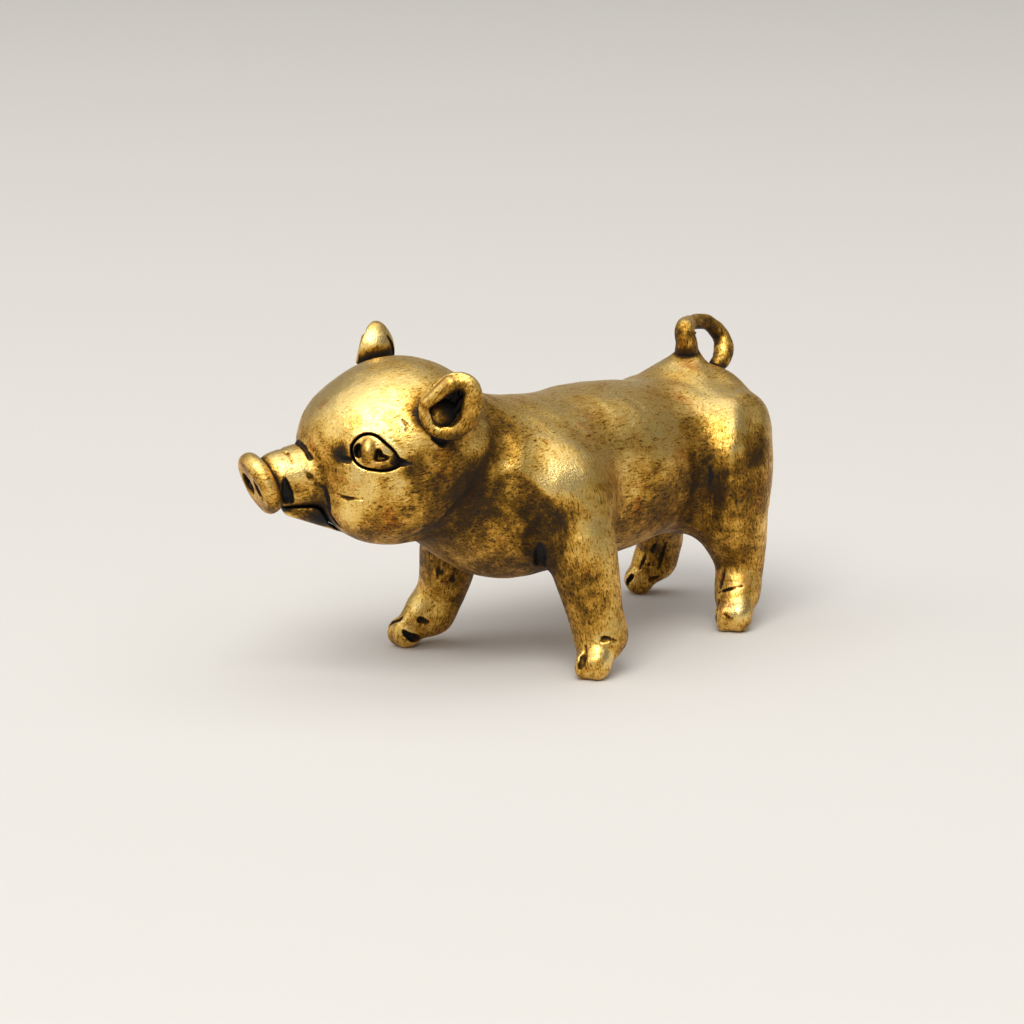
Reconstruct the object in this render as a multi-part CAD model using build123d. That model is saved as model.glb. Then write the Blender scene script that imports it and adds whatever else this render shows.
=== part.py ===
from build123d import *
import os
from math import cos, sin, radians, sqrt

# A small standing pig in solid brass. Sizes are in millimetres. The hooves stand on z = 0,
# the head points to -X and is turned to the pig's right (+Y), and the belly is at x = 0, y = 0.
# At the end the whole pig is moved so that the middle of its box is on the Z axis.

# Fits between the brazed pieces
BRAZE_GAP = 0.05          # film between two seated pieces
PEG_CLEARANCE = 0.05      # all round a peg in its socket

# Torso. Shares tell where its sections lie, from the neck face to the end of the buttocks.
BODY_LENGTH = 27.5        # middle of the neck face to the end of the buttocks
BACK_HEIGHT = 17.9        # floor to the line of the back
CHEST_SHARE = 0.1455
CHEST_WIDTH = 13.2        # across the shoulder blades
CHEST_DEPTH = 12.2        # back to underside
CHEST_RISE = 0.2          # top above the line of the back
WAIST_SHARE = 0.367
WAIST_WIDTH = 11.1        # in the hollow behind the shoulders
BELLY_SHARE = 0.54
BELLY_WIDTH = 11.8
BELLY_DEPTH = 11.9        # at the belly and the waist
RUMP_SHARE = 0.774
RUMP_WIDTH = 13.8         # across the thighs
RUMP_DEPTH = 12.3
RUMP_RISE = 0.25

# Neck joint, a flat face with a spigot, and the breast between it and the chest
NECK_WIDTH = 10.95
NECK_DEPTH = 10.95
NECK_RISE = 1.5           # middle of the neck face above the middle of the chest
NECK_SIDESTEP = 0.65      # middle of the neck face to the pig's right
NECK_TURN = 12.0          # degrees to the pig's right
NECK_PITCH = 25.0         # degrees upwards
BREAST_WIDTH = 12.3
BREAST_DEPTH = 12.0
BREAST_DROP = 0.25        # below the line from neck to chest
NECK_SPIGOT_DIAMETER = 3.2
NECK_SPIGOT_DEPTH = 3.4

# Head. The middle of the skull is placed from the middle of the neck face.
HEAD_REACH = 4.6
HEAD_RISE = 1.85
HEAD_SIDESTEP = 1.35      # to the pig's right
HEAD_TURN = 22.0          # degrees to the pig's right
HEAD_PITCH = 6.0          # degrees downwards
HEAD_ROLL = 5.5           # degrees that the head is cocked to the pig's left
NAPE_WIDTH = 11.8
NAPE_DEPTH = 11.4
NAPE_RISE = 0.65           # nape above the line from neck to skull
SKULL_WIDTH = 12.3
SKULL_DEPTH = 12.7
SKULL_RISE = 0.15         # widest section of the skull above the axis of the head
BROW_WIDTH = 9.8
BROW_DEPTH = 9.8
STOP_WIDTH = 6.9          # at the stop, the foot of the forehead
STOP_DEPTH = 6.6
MUZZLE_WIDTH = 4.4
MUZZLE_DEPTH = 4.2
MUZZLE_FLARE = 0.3        # wider at the root of the muzzle than at its end
SKULL_TO_BROW = 4.2
BROW_TO_STOP = 1.4
STOP_TO_MUZZLE = 1.1
MUZZLE_LENGTH = 2.2

# Snout disc
SNOUT_DIAMETER = 4.2
SNOUT_THICKNESS = 1.7
SNOUT_ROUNDING = 0.55
SNOUT_PITCH = 18.0        # degrees that the disc faces further down than the head
NOSTRIL_LENGTH = 1.25
NOSTRIL_WIDTH = 0.75
NOSTRIL_SPACING = 1.5
NOSTRIL_DEPTH = 0.8
SNOUT_PEG_DIAMETER = 1.6
SNOUT_PEG_DEPTH = 1.8

# Lower jaw
MOUTH_GAP = 0.12          # dark line between the muzzle and the jaw
CHIN_BACK = 0.9           # tip of the chin behind the end of the muzzle
JAW_LENGTH = 3.7
JAW_WIDTH = 4.2
JAW_DEPTH = 2.9
CHIN_WIDTH = 2.3
CHIN_DEPTH = 1.1
JAW_DROP = 0.15           # axis of the jaw below the underside of the muzzle
JAW_MIDDLE_SHARE = 0.55   # where the middle section of the jaw lies, from its root to the chin
JAW_PEG_DIAMETER = 0.9
JAW_PEG_DEPTH = 1.5

# Ears, cups with a thick rim. Directions are forwards, outwards and upwards on the head.
EAR_LENGTH = 5.0
EAR_WIDTH = 4.3
EAR_DEPTH = 1.6
EAR_RIM = 0.6
EAR_FLOOR = 0.7
EAR_FOOT_SHARE = 0.42     # foot of the cup against its rim
EAR_BULGE = 0.6           # how far the cup has opened from foot to rim at half its depth
EAR_WIDEST_SHARE = 0.12   # widest place below the middle of the ear, against its length
EAR_SHOULDER_SHARES = (0.17, 0.42)  # a point of the curved side, against the length and the width
EAR_STANDOFF = 0.3        # middle of the foot above the skin of the head
LEFT_EAR_PLACE = (-0.38, 0.69, 0.62)
RIGHT_EAR_PLACE = (-0.28, 0.62, 0.73)
LEFT_EAR_FACING = (0.45, 0.85, 0.10)
RIGHT_EAR_FACING = (0.50, 0.80, 0.10)
LEFT_EAR_POINTING = (-0.55, 0.25, 0.80)
RIGHT_EAR_POINTING = (-0.10, 0.30, 0.95)
EAR_PEG_DIAMETER = 1.0
EAR_PEG_DEPTH = 1.6

# Eyes, round-headed pins
EYE_DIAMETER = 2.6
EYE_SET = 0.75            # middle of the bead below the skin of the head
EYE_FACING = (0.58, 0.76, 0.29)
EYE_STEM_DIAMETER = 0.8
EYE_STEM_DEPTH = 2.2      # beyond the bead

# Legs. A step is how far the hoof stands ahead of its shoulder or hip, and a splay how far outside.
SHOULDER_DIAMETER = 7.0
SHOULDER_SET = 2.7        # middle of the shoulder below the skin of the torso
SHOULDER_DROP = 6.3       # below the line of the back
HIP_DIAMETER = 8.6
HIP_SET = 3.6             # middle of the hip below the skin of the torso
HIP_DROP = 6.1            # below the line of the back
ELBOW_DIAMETER = 5.1
KNEE_DIAMETER = 3.7
KNEE_HEIGHT = 4.8
KNEE_BACK = 0.5           # behind the line from shoulder to hoof
STIFLE_DIAMETER = 6.3
STIFLE_BACK = 0.3         # behind the line from hip to hoof, as is the hock
HOCK_DIAMETER = 3.6
HOCK_HEIGHT = 5.2
HOCK_BACK = 1.4
PASTERN_DIAMETER = 3.3
PASTERN_HEIGHT = 2.3
FORE_PASTERN_BACK = 0.75
HIND_PASTERN_BACK = 0.85
HOOF_LENGTH = 3.6
HOOF_WIDTH = 3.2
HOOF_HEIGHT = 1.0
SOLE_INSET = 0.45         # sole smaller all round than the hoof above it
CLEFT_WIDTH = 0.4
CLEFT_DEPTH = 1.0
CLEFT_HEIGHT = 1.6
LEG_PEG_DIAMETER = 2.4
LEG_PEG_DEPTH = 2.6
# Shares of the step and of the splay that each leg's bends have made, from the top down
LEFT_FORE_BENDS = ((0.33, 0.55), (0.50, 0.76), (0.90, 0.89))
RIGHT_FORE_BENDS = ((0.25, 0.25), (0.39, 0.52), (0.75, 0.80))
LEFT_HIND_BENDS = ((0.25, 0.48), (0.50, 0.74), (0.83, 0.95))
RIGHT_HIND_BENDS = ((0.23, 0.30), (0.45, 0.47), (0.88, 0.74))
LEFT_SHOULDER_BACK = 1.1  # behind the chest section
RIGHT_SHOULDER_BACK = 0.5
LEFT_HIP_BACK = 0.0       # behind the rump section
RIGHT_HIP_BACK = 0.6
LEFT_FORE_STEP = 0.7
RIGHT_FORE_STEP = 1.9
LEFT_HIND_STEP = 0.3
RIGHT_HIND_STEP = -3.1
LEFT_FORE_SPLAY = 3.7
RIGHT_FORE_SPLAY = 3.6
LEFT_HIND_SPLAY = 2.2
RIGHT_HIND_SPLAY = 2.8

# Tail, one open curl of round rod on a flared root
TAIL_DIAMETER = 1.6
TAIL_ROOT_DIAMETER = 2.4
TAIL_ROOT_HEIGHT = 1.0
TAIL_BACK = 1.1           # root behind the rump section
TAIL_PEG_DIAMETER = 1.2
TAIL_PEG_DEPTH = 2.0
CURL_GAP_LENGTH = 2.9     # open space between the two limbs of the curl
CURL_GAP_HEIGHT = 1.9     # open space between the rump and the top of the curl
CURL_SWAY = 1.0           # sideways, so that the end passes clear of the root
CURL_INNER_BEND = 0.06    # radius inside the rod's bends
# Corners of the curl as shares of its length, sway and height, from inside the rump to the rod's end
CURL_ROUTE = (
    (0.00, 0.00, -0.30),
    (-0.10, -0.30, 0.50),
    (-0.10, -0.10, 0.97),
    (0.30, 0.60, 1.00),
    (0.85, 0.50, 0.90),
    (1.00, -0.10, 0.35),
    (0.85, -0.35, -0.05),
)

# Shares of a dome's height where its round sections lie
DOME_SHARES = (0.35, 0.7, 0.92)

LEFT, RIGHT = -1, 1


def heading(turn, pitch):
    """Direction of the head end, turned to the pig's right and pitched upwards, in degrees."""
    level = cos(radians(pitch))
    return Vector(-cos(radians(turn)) * level, sin(radians(turn)) * level, sin(radians(pitch)))


def facing_plane(origin, direction):
    """Plane that faces along a direction, with its X axis level and its Y axis upwards."""
    level = Vector(-direction.Y, direction.X, 0)
    return Plane(origin, x_dir=level, z_dir=direction)


# Places worked out from the sizes
CHEST_X = BODY_LENGTH * (CHEST_SHARE - BELLY_SHARE)
WAIST_X = BODY_LENGTH * (WAIST_SHARE - BELLY_SHARE)
RUMP_X = BODY_LENGTH * (RUMP_SHARE - BELLY_SHARE)
RUMP_OVERHANG = BODY_LENGTH * (1 - RUMP_SHARE)
CHEST_MIDDLE = BACK_HEIGHT + CHEST_RISE - CHEST_DEPTH / 2
BELLY_MIDDLE = BACK_HEIGHT - BELLY_DEPTH / 2
RUMP_MIDDLE = BACK_HEIGHT + RUMP_RISE - RUMP_DEPTH / 2
NECK = Vector(-BODY_LENGTH * BELLY_SHARE, NECK_SIDESTEP, CHEST_MIDDLE + NECK_RISE)
NECK_FACE = facing_plane(NECK, heading(NECK_TURN, NECK_PITCH))
SKULL = NECK + Vector(-HEAD_REACH, HEAD_SIDESTEP, HEAD_RISE)
FORWARD = heading(HEAD_TURN, -HEAD_PITCH)
UPWARD = facing_plane(SKULL, FORWARD).y_dir.rotate(Axis((0, 0, 0), FORWARD), -HEAD_ROLL)
LEFTWARD = UPWARD.cross(FORWARD)
STOP_FORWARD = SKULL_TO_BROW + BROW_TO_STOP
MUZZLE_ROOT = STOP_FORWARD + STOP_TO_MUZZLE
MUZZLE_END = MUZZLE_ROOT + MUZZLE_LENGTH


def head_plane(forward, upward=0.0, pitch=0.0):
    """Plane across the head's middle, ahead of and above the skull, pitched upwards by some degrees."""
    origin = SKULL + FORWARD * forward + UPWARD * upward
    normal = FORWARD * cos(radians(pitch)) + UPWARD * sin(radians(pitch))
    return Plane(origin, x_dir=LEFTWARD, z_dir=normal)


SNOUT_SEAT = head_plane(MUZZLE_END, 0, -SNOUT_PITCH)


def along_head(direction, side):
    """Direction on the head from its forward, outward and upward shares."""
    forward, outward, upward = direction
    return (FORWARD * forward - LEFTWARD * (side * outward) + UPWARD * upward).normalized()


def skin_point(form, start, direction):
    """Point where a line from inside a form comes out of it."""
    reach = 2 * BACK_HEIGHT
    inside = Line(start, start + direction * reach) & form
    return max((Vector(*corner) for corner in inside.vertices()), key=lambda point: (point - start).length)


def between(one, other, lift=Vector(0, 0, 0)):
    """Plane halfway between two others."""
    middle = (one.origin + other.origin) * 0.5 + lift
    return Plane(middle, x_dir=one.x_dir + other.x_dir, z_dir=one.z_dir + other.z_dir)


def section(plane, width, depth, grow=0.0):
    """Oval section across the body, the head or a limb."""
    return plane * Ellipse(width / 2 + grow, depth / 2 + grow)


def bar(plane, diameter, depth, root):
    """Round bar along the plane's axis, from the root behind the plane to the depth beyond it."""
    rod = Cylinder(diameter / 2, root + depth, align=(Align.CENTER, Align.CENTER, Align.MIN))
    return plane.offset(-root) * rod


def peg_and_socket(plane, diameter, depth, root):
    """Peg that starts inside its own piece, and the blind hole for it in the next one."""
    peg = bar(plane, diameter, depth, root)
    hole = bar(plane, diameter + 2 * PEG_CLEARANCE, depth + PEG_CLEARANCE, root)
    return peg, hole


def torso_form(grow=0.0):
    """Barrel of the body from the neck face to the rounded buttocks."""
    across = Vector(-1, 0, 0)
    chest = facing_plane(Vector(CHEST_X, 0, CHEST_MIDDLE), across)
    sections = [
        section(NECK_FACE, NECK_WIDTH, NECK_DEPTH, grow),
        section(between(NECK_FACE, chest, Vector(0, 0, -BREAST_DROP)), BREAST_WIDTH, BREAST_DEPTH, grow),
        section(chest, CHEST_WIDTH, CHEST_DEPTH, grow),
    ]
    for x, middle, width, depth in (
        (WAIST_X, BELLY_MIDDLE, WAIST_WIDTH, BELLY_DEPTH),
        (0, BELLY_MIDDLE, BELLY_WIDTH, BELLY_DEPTH),
        (RUMP_X, RUMP_MIDDLE, RUMP_WIDTH, RUMP_DEPTH),
    ):
        sections.append(section(facing_plane(Vector(x, 0, middle), across), width, depth, grow))
    for share in DOME_SHARES:
        round_off = sqrt(1 - share * share)
        place = Vector(RUMP_X + (RUMP_OVERHANG + grow) * share, 0, RUMP_MIDDLE)
        width, depth = RUMP_WIDTH * round_off, RUMP_DEPTH * round_off
        sections.append(section(facing_plane(place, across), width, depth, grow * round_off))
    sections.append(Vertex(RUMP_X + RUMP_OVERHANG + grow, 0, RUMP_MIDDLE))
    return loft(sections)


def head_form(grow=0.0):
    """Skull, cheeks and muzzle from the neck face to the seat of the snout."""
    face = NECK_FACE.offset(BRAZE_GAP)
    skull = head_plane(0, SKULL_RISE)
    nape = between(face, skull, UPWARD * NAPE_RISE)
    return loft([
        section(face, NECK_WIDTH, NECK_DEPTH, grow),
        section(nape, NAPE_WIDTH, NAPE_DEPTH, grow),
        section(skull, SKULL_WIDTH, SKULL_DEPTH, grow),
        section(head_plane(SKULL_TO_BROW), BROW_WIDTH, BROW_DEPTH, grow),
        section(head_plane(STOP_FORWARD), STOP_WIDTH, STOP_DEPTH, grow),
        section(head_plane(MUZZLE_ROOT), MUZZLE_WIDTH, MUZZLE_DEPTH, grow + MUZZLE_FLARE / 2),
        section(SNOUT_SEAT, MUZZLE_WIDTH, MUZZLE_DEPTH, grow),
    ])


def snout_disc():
    """Thick round disc with two blind nostrils, on a peg into the muzzle."""
    disc = Cylinder(SNOUT_DIAMETER / 2, SNOUT_THICKNESS, align=(Align.CENTER, Align.CENTER, Align.MIN))
    disc = fillet(disc.edges().filter_by(GeomType.CIRCLE), SNOUT_ROUNDING)
    nostril = extrude(Ellipse(NOSTRIL_WIDTH / 2, NOSTRIL_LENGTH / 2), -NOSTRIL_DEPTH)
    for side in (LEFT, RIGHT):
        disc -= Pos(side * NOSTRIL_SPACING / 2, 0, SNOUT_THICKNESS) * nostril
    inward = Plane(SNOUT_SEAT.origin, x_dir=LEFTWARD, z_dir=-SNOUT_SEAT.z_dir)
    peg, hole = peg_and_socket(inward, SNOUT_PEG_DIAMETER, SNOUT_PEG_DEPTH, BRAZE_GAP + SNOUT_ROUNDING)
    return SNOUT_SEAT.offset(BRAZE_GAP) * disc + peg, hole


def lower_jaw(head, mouth):
    """Wedge of the chin, shaped to the underside of the muzzle, on a peg up into the head."""
    root = MUZZLE_END - CHIN_BACK - JAW_LENGTH
    sections = []
    for share in (0, JAW_MIDDLE_SHARE, 1):
        plane = head_plane(root + JAW_LENGTH * share, -MUZZLE_DEPTH / 2 - JAW_DROP)
        width = JAW_WIDTH + (CHIN_WIDTH - JAW_WIDTH) * share
        depth = JAW_DEPTH + (CHIN_DEPTH - JAW_DEPTH) * share
        sections.append(section(plane, width, depth))
    middle = head_plane(root + JAW_LENGTH / 2).origin
    seat = Plane(skin_point(head, middle, -UPWARD), x_dir=FORWARD, z_dir=UPWARD)
    peg, hole = peg_and_socket(seat, JAW_PEG_DIAMETER, JAW_PEG_DEPTH, MOUTH_GAP + CHIN_DEPTH / 2)
    return loft(sections) - mouth + peg, hole


def leaf(share):
    """Outline of an ear, rounded at the foot and pointed at the tip, at a share of its full size."""
    length, width = EAR_LENGTH * share, EAR_WIDTH * share
    tip = (length / 2, 0)
    widest = -length * EAR_WIDEST_SHARE
    shoulder = (length * EAR_SHOULDER_SHARES[0], width * EAR_SHOULDER_SHARES[1])
    side = ThreePointArc(tip, shoulder, (widest, width / 2))
    foot = ThreePointArc((widest, width / 2), (-length / 2, 0), (widest, -width / 2))
    other = ThreePointArc((widest, -width / 2), (shoulder[0], -shoulder[1]), tip)
    return make_face([side, foot, other])


def ear(side, pose, head, coping):
    """Open cup that faces out and forwards, on a peg from its foot into the skull."""
    outward, opening, pointing = (along_head(direction, side) for direction in pose)
    foot = skin_point(head, SKULL, outward) + outward * EAR_STANDOFF
    cup_plane = Plane(foot, x_dir=pointing - opening * pointing.dot(opening), z_dir=opening)
    inside_share = 1 - 2 * EAR_RIM / EAR_WIDTH
    middle_share = EAR_FOOT_SHARE + (1 - EAR_FOOT_SHARE) * EAR_BULGE
    cup = loft([
        cup_plane * leaf(EAR_FOOT_SHARE),
        cup_plane.offset(EAR_DEPTH / 2) * leaf(middle_share),
        cup_plane.offset(EAR_DEPTH) * leaf(1.0),
    ])
    hollow = loft([
        cup_plane.offset(EAR_FLOOR) * leaf(EAR_FOOT_SHARE * inside_share),
        cup_plane.offset((EAR_FLOOR + EAR_DEPTH) / 2) * leaf(middle_share * inside_share),
        cup_plane.offset(EAR_DEPTH) * leaf(inside_share),
    ])
    seat = Plane(foot - outward * EAR_STANDOFF, z_dir=-outward)
    peg, hole = peg_and_socket(seat, EAR_PEG_DIAMETER, EAR_PEG_DEPTH, EAR_STANDOFF + EAR_FLOOR / 2)
    return cup - coping - hollow + peg, hole


def eye(side, head):
    """Round bead on a stem, and the hollow in the skull that it sits in."""
    outward = along_head(EYE_FACING, side)
    middle = skin_point(head, SKULL, outward) - outward * EYE_SET
    seat = Plane(middle, z_dir=-outward)
    stem, hole = peg_and_socket(seat, EYE_STEM_DIAMETER, EYE_DIAMETER / 2 + EYE_STEM_DEPTH, 0)
    bead = Pos(*middle) * Sphere(EYE_DIAMETER / 2)
    hollow = Pos(*middle) * Sphere(EYE_DIAMETER / 2 + BRAZE_GAP)
    return bead + stem, hollow + hole


def limb(joint, widest, stations, hoof):
    """Leg from a round shoulder or hip through round sections to a flat cloven hoof."""
    sections = [Vertex(*(joint + Vector(0, 0, widest / 2)))]
    for share in reversed(DOME_SHARES):
        diameter = widest * sqrt(1 - share * share)
        sections.append(section(Plane(joint + Vector(0, 0, widest / 2 * share)), diameter, diameter))
    places = [(joint, widest)] + stations
    upper = ((joint + places[1][0]) * 0.5, (widest + places[1][1]) / 2)
    places.insert(1, upper)
    for place, diameter in places:
        sections.append(section(Plane(place), diameter, diameter))
    sections.append(section(Plane(hoof + Vector(0, 0, HOOF_HEIGHT)), HOOF_LENGTH, HOOF_WIDTH))
    sections.append(section(Plane(hoof), HOOF_LENGTH, HOOF_WIDTH, -SOLE_INSET))
    cleft = Box(2 * CLEFT_DEPTH, CLEFT_WIDTH, CLEFT_HEIGHT, align=(Align.CENTER, Align.CENTER, Align.MIN))
    return loft(sections) - Pos(*(hoof - Vector(HOOF_LENGTH / 2, 0, 0))) * cleft


def leg(side, root, stance, joints, torso, coping):
    """Leg on the side of the torso with its peg, and the socket for it."""
    x, drop, inset, widest = root
    step, splay, bends = stance
    outward = Vector(0, side, 0)
    seat = skin_point(torso, Vector(x, 0, BACK_HEIGHT - drop), outward)
    joint = seat - outward * inset
    hoof = Vector(joint.X - step, joint.Y + side * splay, 0)
    reach = hoof - joint
    stations = []
    for (height, diameter, back), (step_share, splay_share) in zip(joints, bends):
        place = Vector(joint.X + reach.X * step_share + back, joint.Y + reach.Y * splay_share, height)
        stations.append((place, diameter))
    inward = Plane(seat, x_dir=(1, 0, 0), z_dir=-outward)
    peg, hole = peg_and_socket(inward, LEG_PEG_DIAMETER, LEG_PEG_DEPTH, (widest / 2 - inset) / 2)
    return limb(joint, widest, stations, hoof) - coping + peg, hole


def foreleg(side, back, stance, torso, coping):
    """Foreleg on the side of the chest."""
    elbow_height = (KNEE_HEIGHT + BACK_HEIGHT - SHOULDER_DROP) / 2
    joints = (
        (elbow_height, ELBOW_DIAMETER, 0),
        (KNEE_HEIGHT, KNEE_DIAMETER, KNEE_BACK),
        (PASTERN_HEIGHT, PASTERN_DIAMETER, FORE_PASTERN_BACK),
    )
    shoulder = (CHEST_X + back, SHOULDER_DROP, SHOULDER_SET, SHOULDER_DIAMETER)
    return leg(side, shoulder, stance, joints, torso, coping)


def hindleg(side, back, stance, torso, coping):
    """Hind leg on the side of the rump, with its hock behind the line from hip to hoof."""
    stifle_height = (HOCK_HEIGHT + BACK_HEIGHT - HIP_DROP) / 2
    joints = (
        (stifle_height, STIFLE_DIAMETER, STIFLE_BACK),
        (HOCK_HEIGHT, HOCK_DIAMETER, HOCK_BACK),
        (PASTERN_HEIGHT, PASTERN_DIAMETER, HIND_PASTERN_BACK),
    )
    hip = (RUMP_X + back, HIP_DROP, HIP_SET, HIP_DIAMETER)
    return leg(side, hip, stance, joints, torso, coping)


def tail(torso, coping):
    """Round rod bent into an open curl on a flared root, on a peg down into the rump."""
    root = skin_point(torso, Vector(RUMP_X + TAIL_BACK, 0, RUMP_MIDDLE), Vector(0, 0, 1))
    length = CURL_GAP_LENGTH + TAIL_DIAMETER
    height = CURL_GAP_HEIGHT + TAIL_DIAMETER / 2
    route = [root + Vector(length * x, CURL_SWAY * y, height * z) for x, y, z in CURL_ROUTE]
    path = FilletPolyline(*route, radius=TAIL_DIAMETER / 2 + CURL_INNER_BEND)
    rod = sweep(Plane(path @ 0, z_dir=path % 0) * Circle(TAIL_DIAMETER / 2), path)
    flare = Pos(*root) * Cone(TAIL_ROOT_DIAMETER / 2, TAIL_DIAMETER / 4, 2 * TAIL_ROOT_HEIGHT)
    downward = Plane(root, x_dir=(1, 0, 0), z_dir=(0, 0, -1))
    peg, hole = peg_and_socket(downward, TAIL_PEG_DIAMETER, TAIL_PEG_DEPTH, TAIL_ROOT_HEIGHT / 2)
    return (rod - coping) + (flare - coping) + peg, hole


def build_pig():
    """All pieces of the pig by name, the small ones first because their pegs set the sockets."""
    torso, torso_coping = torso_form(), torso_form(BRAZE_GAP)
    head, head_coping = head_form(), head_form(BRAZE_GAP)
    left_fore = (LEFT_FORE_STEP, LEFT_FORE_SPLAY, LEFT_FORE_BENDS)
    right_fore = (RIGHT_FORE_STEP, RIGHT_FORE_SPLAY, RIGHT_FORE_BENDS)
    left_hind = (LEFT_HIND_STEP, LEFT_HIND_SPLAY, LEFT_HIND_BENDS)
    right_hind = (RIGHT_HIND_STEP, RIGHT_HIND_SPLAY, RIGHT_HIND_BENDS)
    left_ear = (LEFT_EAR_PLACE, LEFT_EAR_FACING, LEFT_EAR_POINTING)
    right_ear = (RIGHT_EAR_PLACE, RIGHT_EAR_FACING, RIGHT_EAR_POINTING)
    on_torso = {
        "left_foreleg": foreleg(LEFT, LEFT_SHOULDER_BACK, left_fore, torso, torso_coping),
        "right_foreleg": foreleg(RIGHT, RIGHT_SHOULDER_BACK, right_fore, torso, torso_coping),
        "left_hindleg": hindleg(LEFT, LEFT_HIP_BACK, left_hind, torso, torso_coping),
        "right_hindleg": hindleg(RIGHT, RIGHT_HIP_BACK, right_hind, torso, torso_coping),
        "tail": tail(torso, torso_coping),
    }
    on_head = {
        "snout_disc": snout_disc(),
        "lower_jaw": lower_jaw(head, head_form(MOUTH_GAP)),
        "left_ear": ear(LEFT, left_ear, head, head_coping),
        "right_ear": ear(RIGHT, right_ear, head, head_coping),
        "left_eye": eye(LEFT, head),
        "right_eye": eye(RIGHT, head),
    }
    backward = Plane(NECK, x_dir=NECK_FACE.x_dir, z_dir=-NECK_FACE.z_dir)
    spigot, hole = peg_and_socket(backward, NECK_SPIGOT_DIAMETER, NECK_SPIGOT_DEPTH, NECK_SPIGOT_DIAMETER)
    pieces = {
        "torso": torso - [hole] - [socket for piece, socket in on_torso.values()],
        "head": head + spigot - [socket for piece, socket in on_head.values()],
    }
    for name, (piece, socket) in (on_torso | on_head).items():
        pieces[name] = piece
    return pieces


pig = build_pig()
box = Compound(list(pig.values())).bounding_box()
to_origin = Pos(-(box.min.X + box.max.X) / 2, -(box.min.Y + box.max.Y) / 2, -box.min.Z)
os.makedirs("parts", exist_ok=True)
for name, piece in pig.items():
    export_step(to_origin * piece, "parts/" + name + ".step")
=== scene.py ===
import math
from concurrent.futures import ThreadPoolExecutor

import bpy
import numpy as np
from mathutils import Matrix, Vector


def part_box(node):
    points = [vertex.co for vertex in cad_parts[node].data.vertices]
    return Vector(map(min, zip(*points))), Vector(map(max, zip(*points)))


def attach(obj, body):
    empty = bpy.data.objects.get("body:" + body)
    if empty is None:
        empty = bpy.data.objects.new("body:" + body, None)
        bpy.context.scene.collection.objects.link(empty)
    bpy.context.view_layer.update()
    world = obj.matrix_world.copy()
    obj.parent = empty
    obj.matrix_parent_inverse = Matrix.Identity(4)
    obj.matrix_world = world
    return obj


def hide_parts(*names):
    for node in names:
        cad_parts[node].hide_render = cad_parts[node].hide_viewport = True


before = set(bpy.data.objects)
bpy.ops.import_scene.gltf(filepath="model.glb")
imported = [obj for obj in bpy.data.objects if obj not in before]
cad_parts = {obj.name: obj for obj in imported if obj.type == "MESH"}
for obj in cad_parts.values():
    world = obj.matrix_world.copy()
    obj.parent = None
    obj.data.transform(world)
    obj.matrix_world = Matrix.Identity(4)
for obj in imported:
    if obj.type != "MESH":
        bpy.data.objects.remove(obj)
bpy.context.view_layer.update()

# The pig is sculpted in millimetres as blended forms, each a function that is negative inside the metal.
# In this file's own frame the head points to -X and the pig's left side to -Y, the hooves stand on z = 0
# and the buttocks end at x = RUMP_END. PLACE moves it onto the CAD model.
RUMP_END = 16.9
torso_low, torso_high = (np.array(corner) * 1000 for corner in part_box("torso"))
PLACE = np.array([torso_high[0] - RUMP_END, (torso_low[1] + torso_high[1]) / 2, 0])

# Forms and blends

FAR = 2.5  # a form is worked out this far round its box, and counts as this far away beyond
MARK_REACH = 0.6  # the same for a chisel mark
MARK_SOFT = 0.12  # rounding of a chisel mark's edges
MARK_RAGGED, MARK_RAGGED_SIZE = 0.04, 0.8  # unevenness of a chisel mark, and its length


def vec(*xyz):
    return np.array(xyz, float)


def unit(v):
    return v / np.linalg.norm(v)


def oval(p, centre, radii, turn=None):
    """Egg with three radii. The columns of turn are its own axes."""
    q = p - centre
    if turn is not None:
        q = q @ turn
    radii = np.asarray(radii, float)
    near = np.linalg.norm(q / radii, axis=1)
    slope = np.linalg.norm(q / radii ** 2, axis=1)
    return np.where(slope < 1e-9, -radii.min(), near * (near - 1) / np.maximum(slope, 1e-9))


def taper(p, start, end, start_radius, end_radius):
    """Round bar from one ball to another."""
    start, end = np.asarray(start, float), np.asarray(end, float)
    run = end - start
    length = np.linalg.norm(run)
    q = p - start
    along = q @ run / length
    aside = np.sqrt(np.maximum((q * q).sum(1) - along ** 2, 0))
    lean = (start_radius - end_radius) / length
    level = math.sqrt(max(1 - lean * lean, 0))
    t = np.clip((along - aside * lean / max(level, 1e-6)) / length, 0, 1)
    return np.hypot(along - t * length, aside) - (start_radius + (end_radius - start_radius) * t)


def flowing(stations, pieces=6):
    """Points and radii on a smooth line through (centre, radius) stations."""
    marks = np.array([[*centre, radius] for centre, radius in stations])
    marks = np.vstack([2 * marks[0] - marks[1], marks, 2 * marks[-1] - marks[-2]])
    line = []
    for a, b, c, d in zip(marks, marks[1:], marks[2:], marks[3:]):
        for t in np.arange(pieces) / pieces:
            line.append(b + t / 2 * (c - a + t * (2 * a - 5 * b + 4 * c - d + t * (3 * (b - c) + d - a))))
    return np.array([*line, marks[-2]])


def line_box(line, room):
    return (line[:, :3] - line[:, 3:]).min(0) - room, (line[:, :3] + line[:, 3:]).max(0) + room


def within(p, low, high):
    """Which points lie in a box."""
    near = np.flatnonzero((p[:, 0] > low[0]) & (p[:, 0] < high[0]))
    for axis in (1, 2):
        place = p[near, axis]
        near = near[(place > low[axis]) & (place < high[axis])]
    return near


def boxed(form, p, low, high):
    """A form's values inside a box, and FAR elsewhere."""
    found = np.full(len(p), FAR)
    near = within(p, low, high)
    if len(near):
        found[near] = form(p[near])
    return found


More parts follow.
